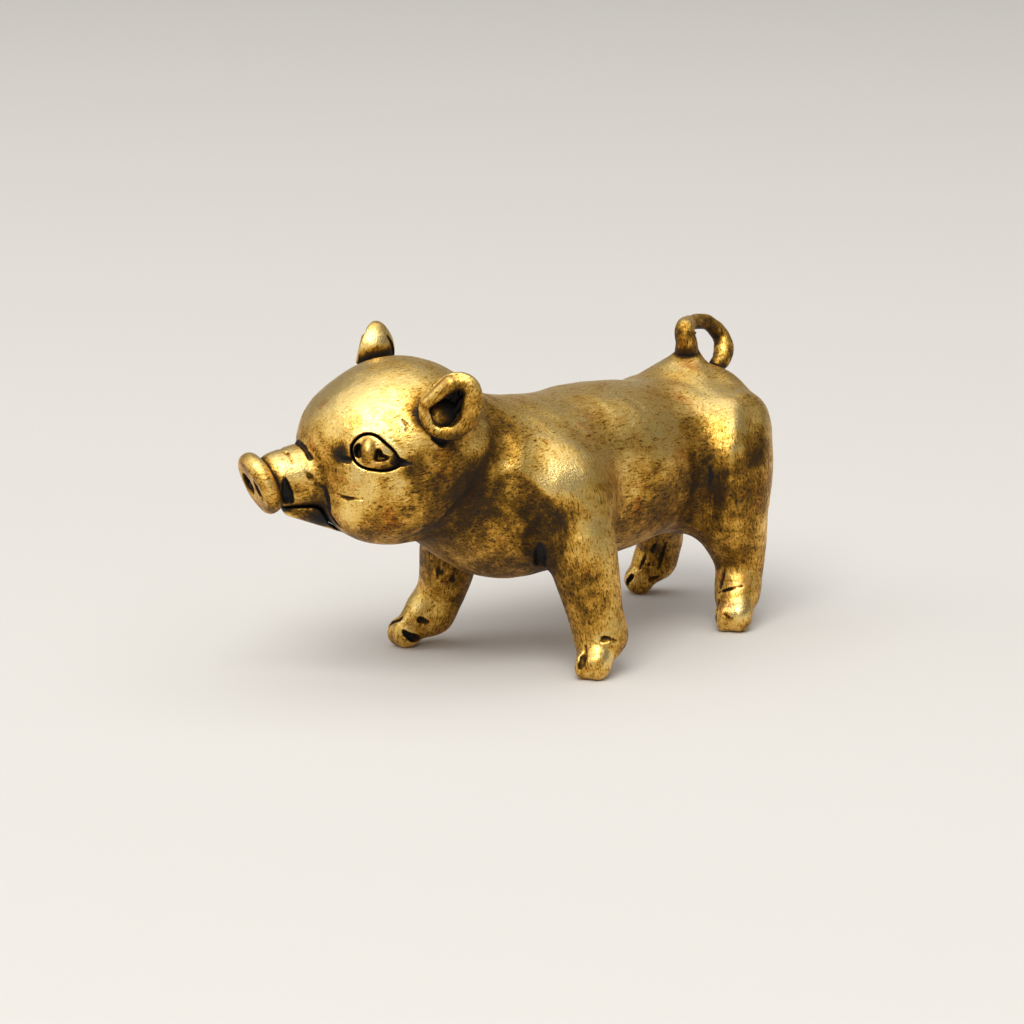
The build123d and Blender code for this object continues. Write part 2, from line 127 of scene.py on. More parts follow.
def bars(p, line):
    """Round bar of changing thickness along a smooth line."""
    form = np.full(len(p), np.inf)
    for start, end in zip(line, line[1:]):
        form = np.minimum(form, taper(p, start[:3], end[:3], start[3], end[3]))
    return form


def melt(a, b, soft):
    """Both forms, joined by a fillet."""
    share = np.maximum(soft - np.abs(a - b), 0) / soft
    return np.minimum(a, b) - share * share * soft / 4


def carve(a, b, soft):
    """The first form with the second cut out, its edges rounded."""
    return -melt(-a, b, soft)


# Torso. Each egg has a centre, radii and the softness of its join to the eggs before it.

CHEST = vec(-6.6, 0, 11.85), (6.4, 5.6, 5.6)
BELLY = vec(1.0, 0, 11.9), (12.5, 5.9, 6.0), 2.5
RUMP = vec(10.3, 0, 11.9), (6.5, 6.1, 5.75), 1.3
TAIL_ROOT = vec(11.2, 0, 15.8), vec(11.7, -0.05, 18.1), 2.6, 1.0  # its ends and their radii
TAIL_ROOT_SOFT = 1.2


def barrel(p):
    """Chest, belly, rump and the root of the tail."""
    form = oval(p, *CHEST)
    for centre, radii, soft in (BELLY, RUMP):
        form = melt(form, oval(p, centre, radii), soft)
    return melt(form, taper(p, *TAIL_ROOT), TAIL_ROOT_SOFT)


# Shoulder blades, thighs and hips raised on the barrel, on both sides, and the hollows behind the shoulder and in
# the flank: centre, radii, softness and whether it is cut in
MUSCLES = [
    (vec(-6.3, -4.5, 12.4), vec(2.7, 2.2, 3.2), 0.9, False),
    (vec(10.9, -4.4, 11.6), vec(3.2, 2.6, 4.2), 0.9, False),
    (vec(12.4, -3.7, 14.0), vec(2.7, 2.4, 2.4), 1.2, False),
    (vec(13.0, -1.7, 15.2), vec(1.9, 1.9, 2.25), 1.0, False),
    (vec(-0.4, -8.3, 12.0), vec(2.4, 2.5, 4.2), 1.6, True),
    (vec(7.1, -7.2, 10.8), vec(0.7, 1.2, 3.4), 0.9, True),
]
MUSCLE_ROOM = 0.5  # how far beyond its softness a muscle is worked out


def muscles(p, form):
    for centre, radii, soft, cut in MUSCLES:
        for side in (1, -1):
            middle = centre * vec(1, side, 1)
            near = within(p, middle - radii - soft - MUSCLE_ROOM, middle + radii + soft + MUSCLE_ROOM)
            form[near] = (carve if cut else melt)(form[near], oval(p[near], middle, radii), soft)
    return form


# Legs, from the joint inside the torso to the toe. Each station is a centre and a radius.

LEGS = {
    "left_foreleg": [
        (vec(-5.4, -4.2, 11.6), 3.2), (vec(-5.85, -5.9, 8.6), 2.45), (vec(-5.45, -6.7, 5.0), 1.95),
        (vec(-5.1, -7.1, 2.75), 1.8), (vec(-6.45, -7.7, 1.2), 1.2)],
    "right_foreleg": [
        (vec(-5.9, 4.2, 11.6), 3.2), (vec(-6.7, 5.0, 7.4), 2.2), (vec(-6.35, 6.3, 4.0), 1.72),
        (vec(-6.8, 7.0, 2.3), 1.65), (vec(-8.75, 7.5, 1.1), 1.1)],
    "left_hindleg": [
        (vec(10.6, -3.4, 11.8), 3.65), (vec(10.9, -4.5, 8.2), 2.75), (vec(11.7, -4.9, 4.9), 1.8),
        (vec(11.1, -5.3, 2.5), 1.52), (vec(10.0, -5.95, 1.25), 1.25)],
    "right_hindleg": [
        (vec(11.2, 3.4, 11.8), 4.1), (vec(12.3, 4.4, 8.2), 2.8), (vec(14.6, 5.0, 4.4), 1.7),
        (vec(14.9, 5.6, 2.5), 1.5), (vec(13.95, 6.35, 1.05), 1.05)],
}
LEG_LINES = {name: flowing(stations) for name, stations in LEGS.items()}
SHIN_LINES = {name: flowing(stations[:-1]) for name, stations in LEGS.items()}
LEG_SOFT = 1.5
FOOT_BACK, FOOT_FRONT, FOOT_SOFT = 0.85, 0.88, 0.7  # radii of the foot, as shares of the ankle's and the toe's
BROAD_TOE = vec(0.05, 0.3, -0.05), (0.95, 0.72, 0.95)  # in shares of the toe's radius
SLIM_TOE = vec(0.1, -0.52, -0.15), (0.85, 0.48, 0.85)
CLEFT_SOFT, TOE_SOFT = 0.45, 0.3


def leg(p, name):
    return boxed(lambda q: leg_form(q, name), p, *line_box(LEG_LINES[name], FAR))


def leg_form(p, name):
    """Shin, foot and two toes."""
    (ankle, thick), (toe, size) = LEGS[name][-2:]
    form = melt(bars(p, SHIN_LINES[name]), taper(p, ankle, toe, FOOT_BACK * thick, FOOT_FRONT * size), FOOT_SOFT)
    return melt(form, toes(p, ankle, toe, size), TOE_SOFT)


def toes(p, ankle, toe, size):
    """Cloven hoof: a broad toe on the pig's left and a slim one on its right."""
    ahead = unit((toe - ankle) * vec(1, 1, 0))
    leftward = vec(-ahead[1], ahead[0], 0)
    q = (p - toe) @ np.stack([ahead, leftward, vec(0, 0, 1)], 1) / size
    return melt(oval(q, *BROAD_TOE), oval(q, *SLIM_TOE), CLEFT_SOFT) * size


# Head. Its own axes are forwards, to the pig's left and upwards, from the middle of the skull.

SKULL = vec(-15.2, 2.0, 15.35)
HEAD_TURN, HEAD_PITCH, HEAD_ROLL = (math.radians(angle) for angle in (22.0, 6.0, 5.5))
FORWARD = vec(-math.cos(HEAD_TURN) * math.cos(HEAD_PITCH), math.sin(HEAD_TURN) * math.cos(HEAD_PITCH),
              -math.sin(HEAD_PITCH))
LEVEL = unit(vec(-FORWARD[1], FORWARD[0], 0))
UPWARD = math.cos(HEAD_ROLL) * np.cross(FORWARD, LEVEL) + math.sin(HEAD_ROLL) * LEVEL
LEFTWARD = np.cross(UPWARD, FORWARD)
HEAD_AXES = np.stack([FORWARD, LEFTWARD, UPWARD], 1)


def on_head(forward, left, up):
    return SKULL + HEAD_AXES @ vec(forward, left, up)


SKULL_BOX = SKULL - vec(13, 11, 10), SKULL + vec(10, 10, 10)
DOME = vec(-0.3, 0, 0.25), (6.0, 5.95, 6.0)
FACE = vec(2.5, 0, 0.7), (4.0, 4.5, 4.1), 1.5
THROAT = vec(0.6, 0, -2.6), (4.4, 4.2, 2.6), 1.5
CHEEK = vec(1.9, 2.3, -1.7), (3.9, 3.3, 3.1), 1.5
EAR_ROOT = vec(-1.9, 4.3, 3.3), (1.5, 1.1, 1.4), 1.0
MUZZLE = vec(4.0, 0, -0.5), vec(8.1, 0, -0.2), 2.5, 1.82
NECK = on_head(-2.0, 0, -0.6), vec(-8.0, 0.2, 12.1), 5.3, 5.3
MUZZLE_SOFT, NECK_SOFT, SKULL_SOFT = 0.5, 2.0, 0.8


def skull(p):
    return boxed(skull_form, p, *SKULL_BOX)


def skull_form(p):
    """Domed forehead, full cheeks and a short muzzle."""
    q = (p - SKULL) @ HEAD_AXES
    form = oval(q, *DOME)
    for centre, radii, soft in (FACE, THROAT):
        form = melt(form, oval(q, centre, radii), soft)
    for side in (-1, 1):
        for centre, radii, soft in (CHEEK, EAR_ROOT):
            form = melt(form, oval(q, centre * vec(1, side, 1), radii), soft)
    return melt(form, taper(q, *MUZZLE), MUZZLE_SOFT)


def body(p):
    """Torso, legs, neck and head as one blended surface, before the chisel marks."""
    form = muscles(p, barrel(p))
    for name in LEGS:
        form = melt(form, leg(p, name), LEG_SOFT)
    form = melt(form, taper(p, *NECK), NECK_SOFT)
    form = melt(form, skull(p), SKULL_SOFT)
    return form + hand_marks(p)


WAVES = np.array([[0.72, 0.31, 0.62], [-0.45, 0.83, 0.33], [0.29, -0.55, 0.78]])
WAX_MARKS = ((5.0, 0.03), (1.6, 0.012))  # length and height


def uneven(p, size):
    """Irregular waves of this length in millimetres, between about -1 and 1."""
    q = p @ WAVES * (2 * math.pi / size)
    q = q + 1.4 * np.sin(0.7 * q[:, [1, 2, 0]] + vec(0.4, 1.9, 2.7))
    return np.sin(q).sum(1) / 2


def hand_marks(p):
    """Slight unevenness of a form that was modelled in wax by hand."""
    return sum(height * uneven(p, size) for size, height in WAX_MARKS)


# Eyes. Each has its own axes: backwards along the lids, upwards and outwards.

EYE_PLACE = (3.65, 4.6, 1.92)
EYE_FRONT, EYE_BACK = (5.12, 3.6, 1.45), (1.49, 5.63, 1.18)
LID_ROUND, LID_ROUND_AT = 1.15, vec(-0.12, 0.12, 0)  # the lids' outline is round in front
LID_LENGTH, LID_HEIGHT, LID_TILT = 1.7, 0.98, math.radians(-20)  # and drawn down to a corner behind
LID_MIDDLE, LID_SOFT = vec(0.42, -0.16, 0), 0.3
LID_GAP = 0.15  # groove between the eye and its lids
SOCKET_DEPTH, SOCKET_SOFT, SOCKET_REACH = 0.9, 0.12, 4.0
EYE_BALL = 2.6  # radius that the eye bulges with
EYE_PROUD = 0.15  # top of the ball above the skin
EYE_DEPTH, EYE_HALF = 1.2, 2
IRIS, IRIS_SOFT = (vec(-0.12, 0.15, -0.42), (0.57, 0.9, 0.96)), 0.12
PIT_SOFT = 0.15
EYE_PITS = [  # in front of the iris and behind it: centre and radii
    (vec(-0.75, 0.1, 0.05), (0.26, 0.46, 0.6)), (vec(0.5, -0.14, 0.1), (0.3, 0.4, 0.65)),
    (vec(0.8, -0.3, 0.1), (0.5, 0.2, 0.55))]


def slope(form, p, reach=0.01):
    """Direction in which a form's value grows."""
    found = np.empty_like(p)
    for axis in range(3):
        step = np.zeros(3)
        step[axis] = reach
        found[:, axis] = (form(p + step) - form(p - step)) / (2 * reach)
    return found


def settle(form, p, rounds=2):
    """Points moved onto a form's surface."""
    for _ in range(rounds):
        away = slope(form, p)
        p = p - (form(p) / np.maximum((away * away).sum(1), 0.05))[:, None] * away
    return p


def other_side(place, side):
    forward, left, up = place
    return (forward, left * side, up)


def eye_axes(side):
    """Middle of an eye on the skin, and its axes as columns."""
    middle = settle(skull, on_head(*other_side(EYE_PLACE, side))[None], 6)
    outward = unit(slope(skull, middle)[0])
    along = on_head(*other_side(EYE_BACK, side)) - on_head(*other_side(EYE_FRONT, side))
    along = unit(along - outward * (along @ outward))
    upward = np.cross(outward, along) * side
    return middle[0], np.stack([along, upward if upward[2] > 0 else -upward, outward], 1)


LEFT, RIGHT = 1, -1
EYES = {LEFT: eye_axes(LEFT), RIGHT: eye_axes(RIGHT)}


def lids(q):
    """Outline of an eye's opening, seen along its third axis."""
    x, y = q[:, 0] - LID_MIDDLE[0], q[:, 1] - LID_MIDDLE[1]
    along = math.cos(LID_TILT) * x + math.sin(LID_TILT) * y
    aside = np.abs(math.cos(LID_TILT) * y - math.sin(LID_TILT) * x)
    bow = (LID_LENGTH ** 2 + LID_HEIGHT ** 2) / (2 * LID_HEIGHT)
    lens = np.hypot(along, aside + bow - LID_HEIGHT) - bow
    return melt(lens, np.hypot(q[:, 0] - LID_ROUND_AT[0], q[:, 1] - LID_ROUND_AT[1]) - LID_ROUND, LID_SOFT)


def eye_sockets(p, form):
    for middle, axes in EYES.values():
        q = (p - middle) @ axes
        near = (q * q).sum(1) < SOCKET_REACH ** 2
        form[near] = carve(form[near], np.maximum(lids(q[near]), -SOCKET_DEPTH - q[near, 2]), SOCKET_SOFT)
    return form


def eye(p, side):
    middle = EYES[side][0]
    return boxed(lambda q: eye_form(q, side), p, middle - EYE_HALF - FAR, middle + EYE_HALF + FAR)


def eye_form(p, side):
    """Bulging eye with a raised iris between two pits."""
    middle, axes = EYES[side]
    q = (p - middle) @ axes
    ball = np.linalg.norm(q - vec(0, 0, EYE_PROUD - EYE_BALL), axis=1) - EYE_BALL
    form = np.maximum(lids(q) + LID_GAP, np.maximum(ball, -EYE_DEPTH - q[:, 2]))
    for pit in EYE_PITS:
        form = carve(form, oval(q, *pit), PIT_SOFT)
    return melt(form, oval(q, *IRIS), IRIS_SOFT)


# Ears. Each has its own axes: across, towards its tip and out of its opening.

EAR_PLACES = {LEFT: (-1.52, 5.85, 4.36), RIGHT: (-0.95, -5.0, 5.2)}
EAR_SIZES = {LEFT: 1.0, RIGHT: 0.87}
EAR_FOLDS = {LEFT: 1.0, RIGHT: 0.5}
EAR_POINTS = {LEFT: (1.2, 0.75), RIGHT: (1.65, 0.3)}  # place and radius of the tip
EAR_OPENS = {LEFT: (0.45, 0.85, 0.1), RIGHT: (0.5, -0.8, 0.1)}
EAR_TIPS = {LEFT: (-0.55, 0.25, 0.80), RIGHT: (0.08, -0.3, 0.95)}
EAR_BASE, EAR_HALF = 1.42, 3  # radius of the outline at the base, and half the box round an ear
EAR_RIM, EAR_SWELL, EAR_RIM_SOFT = 0.42, 0.1, 0.4  # the rim is thickest at the tip and behind
EAR_BOWL = vec(0, 0.15, 0.1), (1.6, 2.0, 1.45)
EAR_WALL, EAR_LUMP, EAR_LUMP_SIZE = 0.24, 0.12, 0.9  # half the wall, and the lumps in the hollow
FOLD_SOFT, RIDGE_SOFT, EAR_GROOVE_SOFT = 0.2, 0.15, 0.1


def ear_axes(side):
    opening = unit(HEAD_AXES @ vec(*EAR_OPENS[side]))
    tip = HEAD_AXES @ vec(*EAR_TIPS[side])
    tip = unit(tip - opening * (tip @ opening))
    return on_head(*EAR_PLACES[side]), np.stack([np.cross(tip, opening), tip, opening], 1)


EARS = {LEFT: ear_axes(LEFT), RIGHT: ear_axes(RIGHT)}


def ear(p, side):
    middle = EARS[side][0]
    return boxed(lambda q: ear_form(q, side), p, middle - EAR_HALF - FAR, middle + EAR_HALF + FAR)


def ear_cup(q, side):
    """Cup with a thick rolled rim that folds over in front, and a lumpy hollow, in the ear's own axes."""
    tip, sharp = EAR_POINTS[side]
    leaf = taper(q * vec(1, 1, 0), vec(0, -0.3, 0), vec(0.1 * side, tip, 0), EAR_BASE, sharp)
    rim = np.hypot(leaf, q[:, 2]) - EAR_RIM - EAR_SWELL * np.clip(q[:, 1] + side * q[:, 0], -1.5, 1.5)
    shell = oval(q, *EAR_BOWL)
    lumps = np.where(shell < 0, EAR_LUMP * np.maximum(uneven(q, EAR_LUMP_SIZE), 0), 0)
    shell = np.abs(shell) - EAR_WALL - lumps
    form = melt(rim, np.maximum(shell, q[:, 2] - 0.1), EAR_RIM_SOFT)
    width = EAR_FOLDS[side]
    fold = taper(q, vec(-0.85 * side, 1.35, 0.3), vec(-1.35 * side, -0.45, 0.4), 0.55 * width, 0.36 * width)
    form = melt(form, fold, FOLD_SOFT)
    ridge = taper(q, vec(0.5 * side, -0.7, -1.05), vec(0.55 * side, 0.7, -0.95), 0.2, 0.3)
    return melt(form, ridge, RIDGE_SOFT)


def ear_groove(side):
    """Line behind the rim, on the back of the ear."""
    places = np.array([(0.1 * side, 1.6, -1.1), (0.45 * side, 0.8, -1.5), (0.8 * side, -0.2, -1.45)])
    places = settle(lambda q: ear_cup(q, side), places, 5)
    return flowing(list(zip(places, (0.1, 0.24, 0.12))), 4)


EAR_GROOVES = {LEFT: ear_groove(LEFT), RIGHT: ear_groove(RIGHT)}


def ear_form(p, side):
    middle, axes = EARS[side]
    q = (p - middle) @ axes / EAR_SIZES[side]
    return carve(ear_cup(q, side), bars(q, EAR_GROOVES[side]), EAR_GROOVE_SOFT) * EAR_SIZES[side]


# Snout disc and lower jaw

SNOUT_PITCH, SNOUT_YAW = math.radians(18), math.radians(0.5)
SNOUT = on_head(9.0, 0, -0.1)
SNOUT_AXIS = unit(HEAD_AXES @ vec(math.cos(SNOUT_PITCH), math.sin(SNOUT_YAW), -math.sin(SNOUT_PITCH)))
SNOUT_LEFT = unit(LEFTWARD - SNOUT_AXIS * (SNOUT_AXIS @ LEFTWARD))
SNOUT_AXES = np.stack([SNOUT_LEFT, np.cross(SNOUT_AXIS, SNOUT_LEFT), SNOUT_AXIS], 1)
SNOUT_RADIUS, SNOUT_THICK, SNOUT_ROUND, SNOUT_HALF = 2.15, 1.25, 0.6, 2.5
DISH_RADIUS, DISH_DEPTH, DISH_SOFT = 5.2, 0.2, 0.25
NOSTRIL_ASIDE, NOSTRIL_RADII, NOSTRIL_SOFT = 0.85, (0.62, 0.78, 1.0), 0.12
FLESH_ASIDE, FLESH_DEEP, FLESH_RADII, FLESH_SOFT = 1.2, 0.7, (0.2, 0.3, 0.5), 0.1  # small lump in a nostril


def snout(p):
    return boxed(snout_form, p, SNOUT - SNOUT_HALF - FAR, SNOUT + SNOUT_HALF + FAR)


def snout_form(p):
    """Thick rounded disc, slightly dished, with two deep nostrils."""
    q = (p - SNOUT) @ SNOUT_AXES
    aside = np.hypot(q[:, 0], q[:, 1])
    along = np.abs(q[:, 2] - SNOUT_THICK / 2)
    flat = SNOUT_THICK / 2 - SNOUT_ROUND
    form = np.hypot(np.maximum(aside - SNOUT_RADIUS + SNOUT_ROUND, 0), np.maximum(along - flat, 0))
    form += np.minimum(np.maximum(aside - SNOUT_RADIUS + SNOUT_ROUND, along - flat), 0) - SNOUT_ROUND
    dish = vec(0, 0.1, SNOUT_THICK + DISH_RADIUS - DISH_DEPTH)
    form = carve(form, np.linalg.norm(q - dish, axis=1) - DISH_RADIUS, DISH_SOFT)
    for side in (-1, 1):
        form = carve(form, oval(q, vec(NOSTRIL_ASIDE * side, -0.05, SNOUT_THICK), NOSTRIL_RADII), NOSTRIL_SOFT)
        form = melt(form, oval(q, vec(FLESH_ASIDE * side, -0.4, SNOUT_THICK - FLESH_DEEP), FLESH_RADII), FLESH_SOFT)
    return form + hand_marks(p)


JAW = vec(3.2, 0, -3.3), vec(7.5, 0, -2.3), 1.75, 0.7
JAW_MIDDLE, JAW_HALF = on_head(6, 0, -2.6), 3
JAW_FLAT = 0.68  # its height as a share of its width
MOUTH_GAP, LIP_SOFT = 0.08, 0.2
MOUTH_CORNER, CORNER_RUN = 4.6, 0.8  # forward place where the gap closes, and how gently


def jaw(p):
    return boxed(jaw_form, p, JAW_MIDDLE - JAW_HALF - FAR, JAW_MIDDLE + JAW_HALF + FAR)


def jaw_form(p):
    """Wedge of the chin under the muzzle."""
    q = (p - SKULL) @ HEAD_AXES * vec(1, JAW_FLAT, 1)
    gap = MOUTH_GAP * np.clip((q[:, 0] - MOUTH_CORNER) / CORNER_RUN, -1, 1)
    return carve(taper(q, *JAW), skull(p) - gap, LIP_SOFT)


# Chisel marks, each a line of places and radii that is cut along the skin, and valleys, each a line of places
# and depths. Those of the head are in its own axes.

HEAD_MARKS = [
    [(6.7, -1.7, 1.3, 0.04), (6.75, -0.7, 1.95, 0.1), (6.8, 0.44, 2.0, 0.12), (6.73, 1.35, 1.62, 0.09),
     (6.62, 1.73, 1.33, 0.04)],
    [(7.84, 0.54, 1.83, 0.05), (7.75, 1.13, 1.59, 0.1), (7.75, 1.5, 1.3, 0.05)],
    [(7.14, 2.02, 0.65, 0.06), (6.9, 2.21, 0.25, 0.15), (6.78, 2.29, -0.03, 0.08)],
    [(6.66, 2.36, -0.32, 0.06), (6.22, 2.63, -0.79, 0.16), (6.1, 2.66, -1.37, 0.15), (5.99, 2.57, -1.94, 0.2)],
    [(6.03, 2.37, -2.05, 0.2), (5.69, 2.53, -2.76, 0.15), (5.28, 2.71, -3.37, 0.08)],
    [(5.67, 3.53, -0.8, 0.05), (5.36, 4.01, -1.0, 0.12), (4.54, 4.83, -1.0, 0.04)],
    [(8.5, 1.8, 0.4, 0.08), (8.5, 1.8, -0.6, 0.34), (8.2, 1.4, -1.7, 0.34)],
    [(1.23, 4.64, 3.7, 0.05), (1.05, 4.8, 3.4, 0.1)],
    [(1.18, 5.02, 3.12, 0.08), (0.9, 5.0, 3.3, 0.04)],
    [(-0.53, 5.56, 2.38, 0.2), (-1.07, 5.62, 2.06, 0.32)],
    [(4.85, 3.8, 1.4, 0.22), (5.1, 3.5, 1.45, 0.17), (5.25, 3.3, 1.65, 0.03)],
    [(2.25, 5.3, 1.35, 0.3), (1.8, 5.55, 1.15, 0.22), (1.3, 5.7, 0.95, 0.05)],
]
NECK_VALLEY = [
    (-5.16, 2.79, 2.92, 0.2), (-5.93, 2.82, 2.03, 0.25), (-6.22, 3.4, 1.22, 0.28), (-5.82, 4.34, 0.07, 0.28),
    (-4.71, 5.0, -1.25, 0.26), (-3.64, 5.07, -2.5, 0.26), (-2.39, 4.82, -3.36, 0.3), (-0.89, 3.99, -4.59, 0.3),
    (0.55, 3.99, -4.73, 0.2)]
BODY_MARKS = [
    [(-8.83, -5.2, 9.75, 0.04), (-8.53, -4.79, 8.65, 0.34), (-8.0, -4.3, 7.6, 0.36)],
    [(7.77, -5.3, 13.9, 0.04), (7.52, -5.54, 12.75, 0.14), (7.69, -5.69, 11.14, 0.26), (7.64, -5.3, 9.9, 0.16),
     (7.94, -5.24, 8.93, 0.05)],
]
BODY_VALLEYS = [
    [(-11.39, -4.76, 13.36, 0.2), (-10.09, -5.34, 12.13, 0.35), (-9.0, -5.82, 10.91, 0.3), (-8.9, -5.0, 9.2, 0.3)],
    [(7.7, -5.5, 14.35, 0.15), (7.5, -5.8, 12.82, 0.25), (7.5, -5.8, 10.98, 0.3), (7.6, -5.5, 9.5, 0.3),
     (7.8, -5.1, 8.19, 0.25)],
    [(11.7, -5.9, 15.3, 0.08), (10.7, -6.6, 14.3, 0.15), (10.2, -7.0, 13.0, 0.15), (10.0, -7.2, 11.6, 0.08)],
]
VALLEY_HALF, VALLEY_SOFT = 0.8, 0.5  # half the width of a valley, and the rounding of its edges
HOOF_MARKS = [
    [(-7.22, -7.64, 2.3, 0.04), (-7.59, -7.75, 1.53, 0.24), (-7.65, -7.6, 0.9, 0.08)],
    [(-6.57, -8.39, 2.66, 0.03), (-6.25, -8.55, 2.8, 0.21), (-5.95, -8.72, 2.74, 0.1), (-5.6, -8.88, 2.6, 0.02)],
    [(-9.41, 8.25, 1.57, 0.16), (-9.3, 7.58, 2.09, 0.22)],
    [(-9.6, 6.82, 1.29, 0.12), (-9.14, 6.51, 0.84, 0.28), (-8.43, 6.45, 0.58, 0.1)],
    [(-8.6, 6.26, 2.04, 0.18), (-8.23, 5.96, 1.89, 0.12)],
    [(-8.7, 4.2, 6.7, 0.03), (-8.47, 4.67, 5.63, 0.1), (-8.4, 4.9, 5.0, 0.03)],
    [(-8.41, 3.97, 6.4, 0.03), (-8.29, 4.5, 5.5, 0.1)],
    [(-7.89, 3.63, 5.84, 0.05), (-7.67, 4.13, 5.02, 0.12)],
    [(9.64, -5.04, 2.6, 0.03), (10.0, -5.9, 2.95, 0.06), (10.3, -6.4, 3.15, 0.02)],
    [(9.34, -5.12, 2.1, 0.08), (8.93, -5.29, 1.42, 0.2), (8.75, -5.35, 0.8, 0.12)],
    [(8.77, -6.16, 1.38, 0.1), (8.85, -6.46, 1.13, 0.16)],
    [(9.82, -5.13, 4.93, 0.05), (10.13, -5.06, 3.8, 0.12), (9.72, -5.06, 2.81, 0.06)],
    [(13.0, 3.9, 4.6, 0.03), (13.3, 4.5, 3.5, 0.11), (13.5, 5.0, 2.3, 0.04)],
    [(12.9, 4.7, 4.0, 0.03), (13.1, 5.2, 2.9, 0.1), (13.25, 5.65, 2.0, 0.05)],
    [(13.5, 3.5, 4.3, 0.03), (13.75, 4.0, 3.1, 0.1), (13.94, 4.45, 2.1, 0.05)],
    [(14.17, 4.74, 1.46, 0.1), (13.87, 5.05, 1.16, 0.2)],
    [(12.98, 6.17, 1.36, 0.16), (12.97, 6.63, 0.69, 0.1)],
]


def both_sides(lines, place):
    """Lines of the pig's left side and their mirror images, as stations."""
    return [[(place(side, x, y, z), size) for x, y, z, size in line] for line in lines for side in (LEFT, RIGHT)]


def head_place(side, forward, left, up):
    return on_head(forward, left * side, up)


def body_place(side, x, y, z):
    return vec(x, y * side, z)


def along_skin(line, half_width=0.0):
    """Stations moved onto the skin. With a half width, their sizes are the depths of a shallow valley."""
    places = settle(body, np.array([place for place, size in line]), 4)
    sizes = np.array([size for place, size in line])
    if half_width:
        away = slope(body, places)
        radii = (half_width ** 2 + sizes ** 2) / (2 * sizes)
        places += away / np.linalg.norm(away, axis=1)[:, None] * (radii - sizes)[:, None]
        sizes = radii
    return flowing(list(zip(places, sizes)), 4)


CHISEL_LINES = [along_skin(line) for line in (
    *both_sides(HEAD_MARKS, head_place), *both_sides(BODY_MARKS, body_place),
    *[[(vec(x, y, z), size) for x, y, z, size in mark] for mark in HOOF_MARKS])]
VALLEY_LINES = [along_skin(line, VALLEY_HALF) for line in (
    *both_sides([NECK_VALLEY], head_place)[:1], *both_sides(BODY_VALLEYS, body_place))]


def skin(p):
    """The blended surface with its valleys, eye sockets and chisel marks, and flat soles."""
    form = body(p)
    for line in VALLEY_LINES:
        near = within(p, *line_box(line, MARK_REACH))
        form[near] = carve(form[near], bars(p[near], line), VALLEY_SOFT)
    form = eye_sockets(p, form)
    for line in CHISEL_LINES:
        near = within(p, *line_box(line, MARK_REACH))
        if len(near):
            ragged = MARK_RAGGED * uneven(p[near], MARK_RAGGED_SIZE)
            form[near] = carve(form[near], bars(p[near], line) + ragged, MARK_SOFT)
    return np.maximum(form, -p[:, 2])


# Tail, as (centre, radius) stations

TAIL = [
    (vec(11.75, 0, 16.9), 1.75), (vec(11.68, -0.05, 17.7), 1.28), (vec(11.5, -0.12, 18.5), 0.98),
    (vec(11.25, -0.25, 19.4), 0.85), (vec(11.2, -0.15, 20.35), 0.78), (vec(12.6, 0.6, 20.5), 0.62),
    (vec(14.65, 0.9, 20.3), 0.62), (vec(15.8, 0.55, 19.3), 0.68), (vec(15.7, 0.1, 18.35), 0.78),
    (vec(15.2, -0.1, 17.7), 0.74), (vec(14.5, -0.2, 17.4), 0.6)]
TAIL_LINE = flowing(TAIL)


def tail(p):
    return boxed(lambda q: bars(q, TAIL_LINE), p, *line_box(TAIL_LINE, FAR))


def whole(p):
    """Everything, to find how deep a place lies among its neighbours."""
    form = np.minimum(skin(p), np.minimum(snout(p), jaw(p)))
    for side in (LEFT, RIGHT):
        form = np.minimum(form, np.minimum(ear(p, side), eye(p, side)))
    return np.minimum(form, tail(p))


# Meshes from the forms

TORSO_STEP, HEAD_STEP, LEG_STEP, SMALL_STEP = 0.15, 0.1, 0.11, 0.07
BLOCK = 4  # grid steps along a block, which is left out when no surface passes through it
BLOCK_NEAR = 1.3  # a surface this many blocks from a block's middle may pass through it
JUST_INSIDE = -1e-6
WORKERS = 4
CORNERS = np.array([(i, j, k) for i in (0, 1) for j in (0, 1) for k in (0, 1)])
EDGES = [(a, b) for a in range(8) for b in range(a + 1, 8) if np.abs(CORNERS[a] - CORNERS[b]).sum() == 1]
SEAM_LAP = 0.05  # how far neighbouring pieces run into one another


def in_parts(form, p, most=40000):
    """A form's values, worked out a part at a time, side by side."""
    with ThreadPoolExecutor(WORKERS) as workers:
        return np.concatenate(list(workers.map(form, [p[i:i + most] for i in range(0, max(len(p), 1), most)])))


def lattice(form, low, high, step):
    """A form's values on a grid, worked out only in the blocks near its surface."""
    blocks = np.ceil((high - low) / (step * BLOCK)).astype(int)
    middles = [low[a] + step * BLOCK * (np.arange(blocks[a]) + 0.5) for a in range(3)]
    middles = np.stack(np.meshgrid(*middles, indexing="ij"), -1).reshape(-1, 3)
    values = in_parts(form, middles).reshape(blocks)
    for axis in range(3):
        values = np.repeat(values, BLOCK, axis)
    near = np.abs(values) < BLOCK_NEAR * BLOCK * step
    values = np.pad(values, (0, 1), mode="edge")
    live = np.zeros(values.shape, bool)
    for i, j, k in CORNERS:
        live[i:i + near.shape[0], j:j + near.shape[1], k:k + near.shape[2]] |= near
    values[live] = in_parts(form, low + step * np.argwhere(live))
    return values


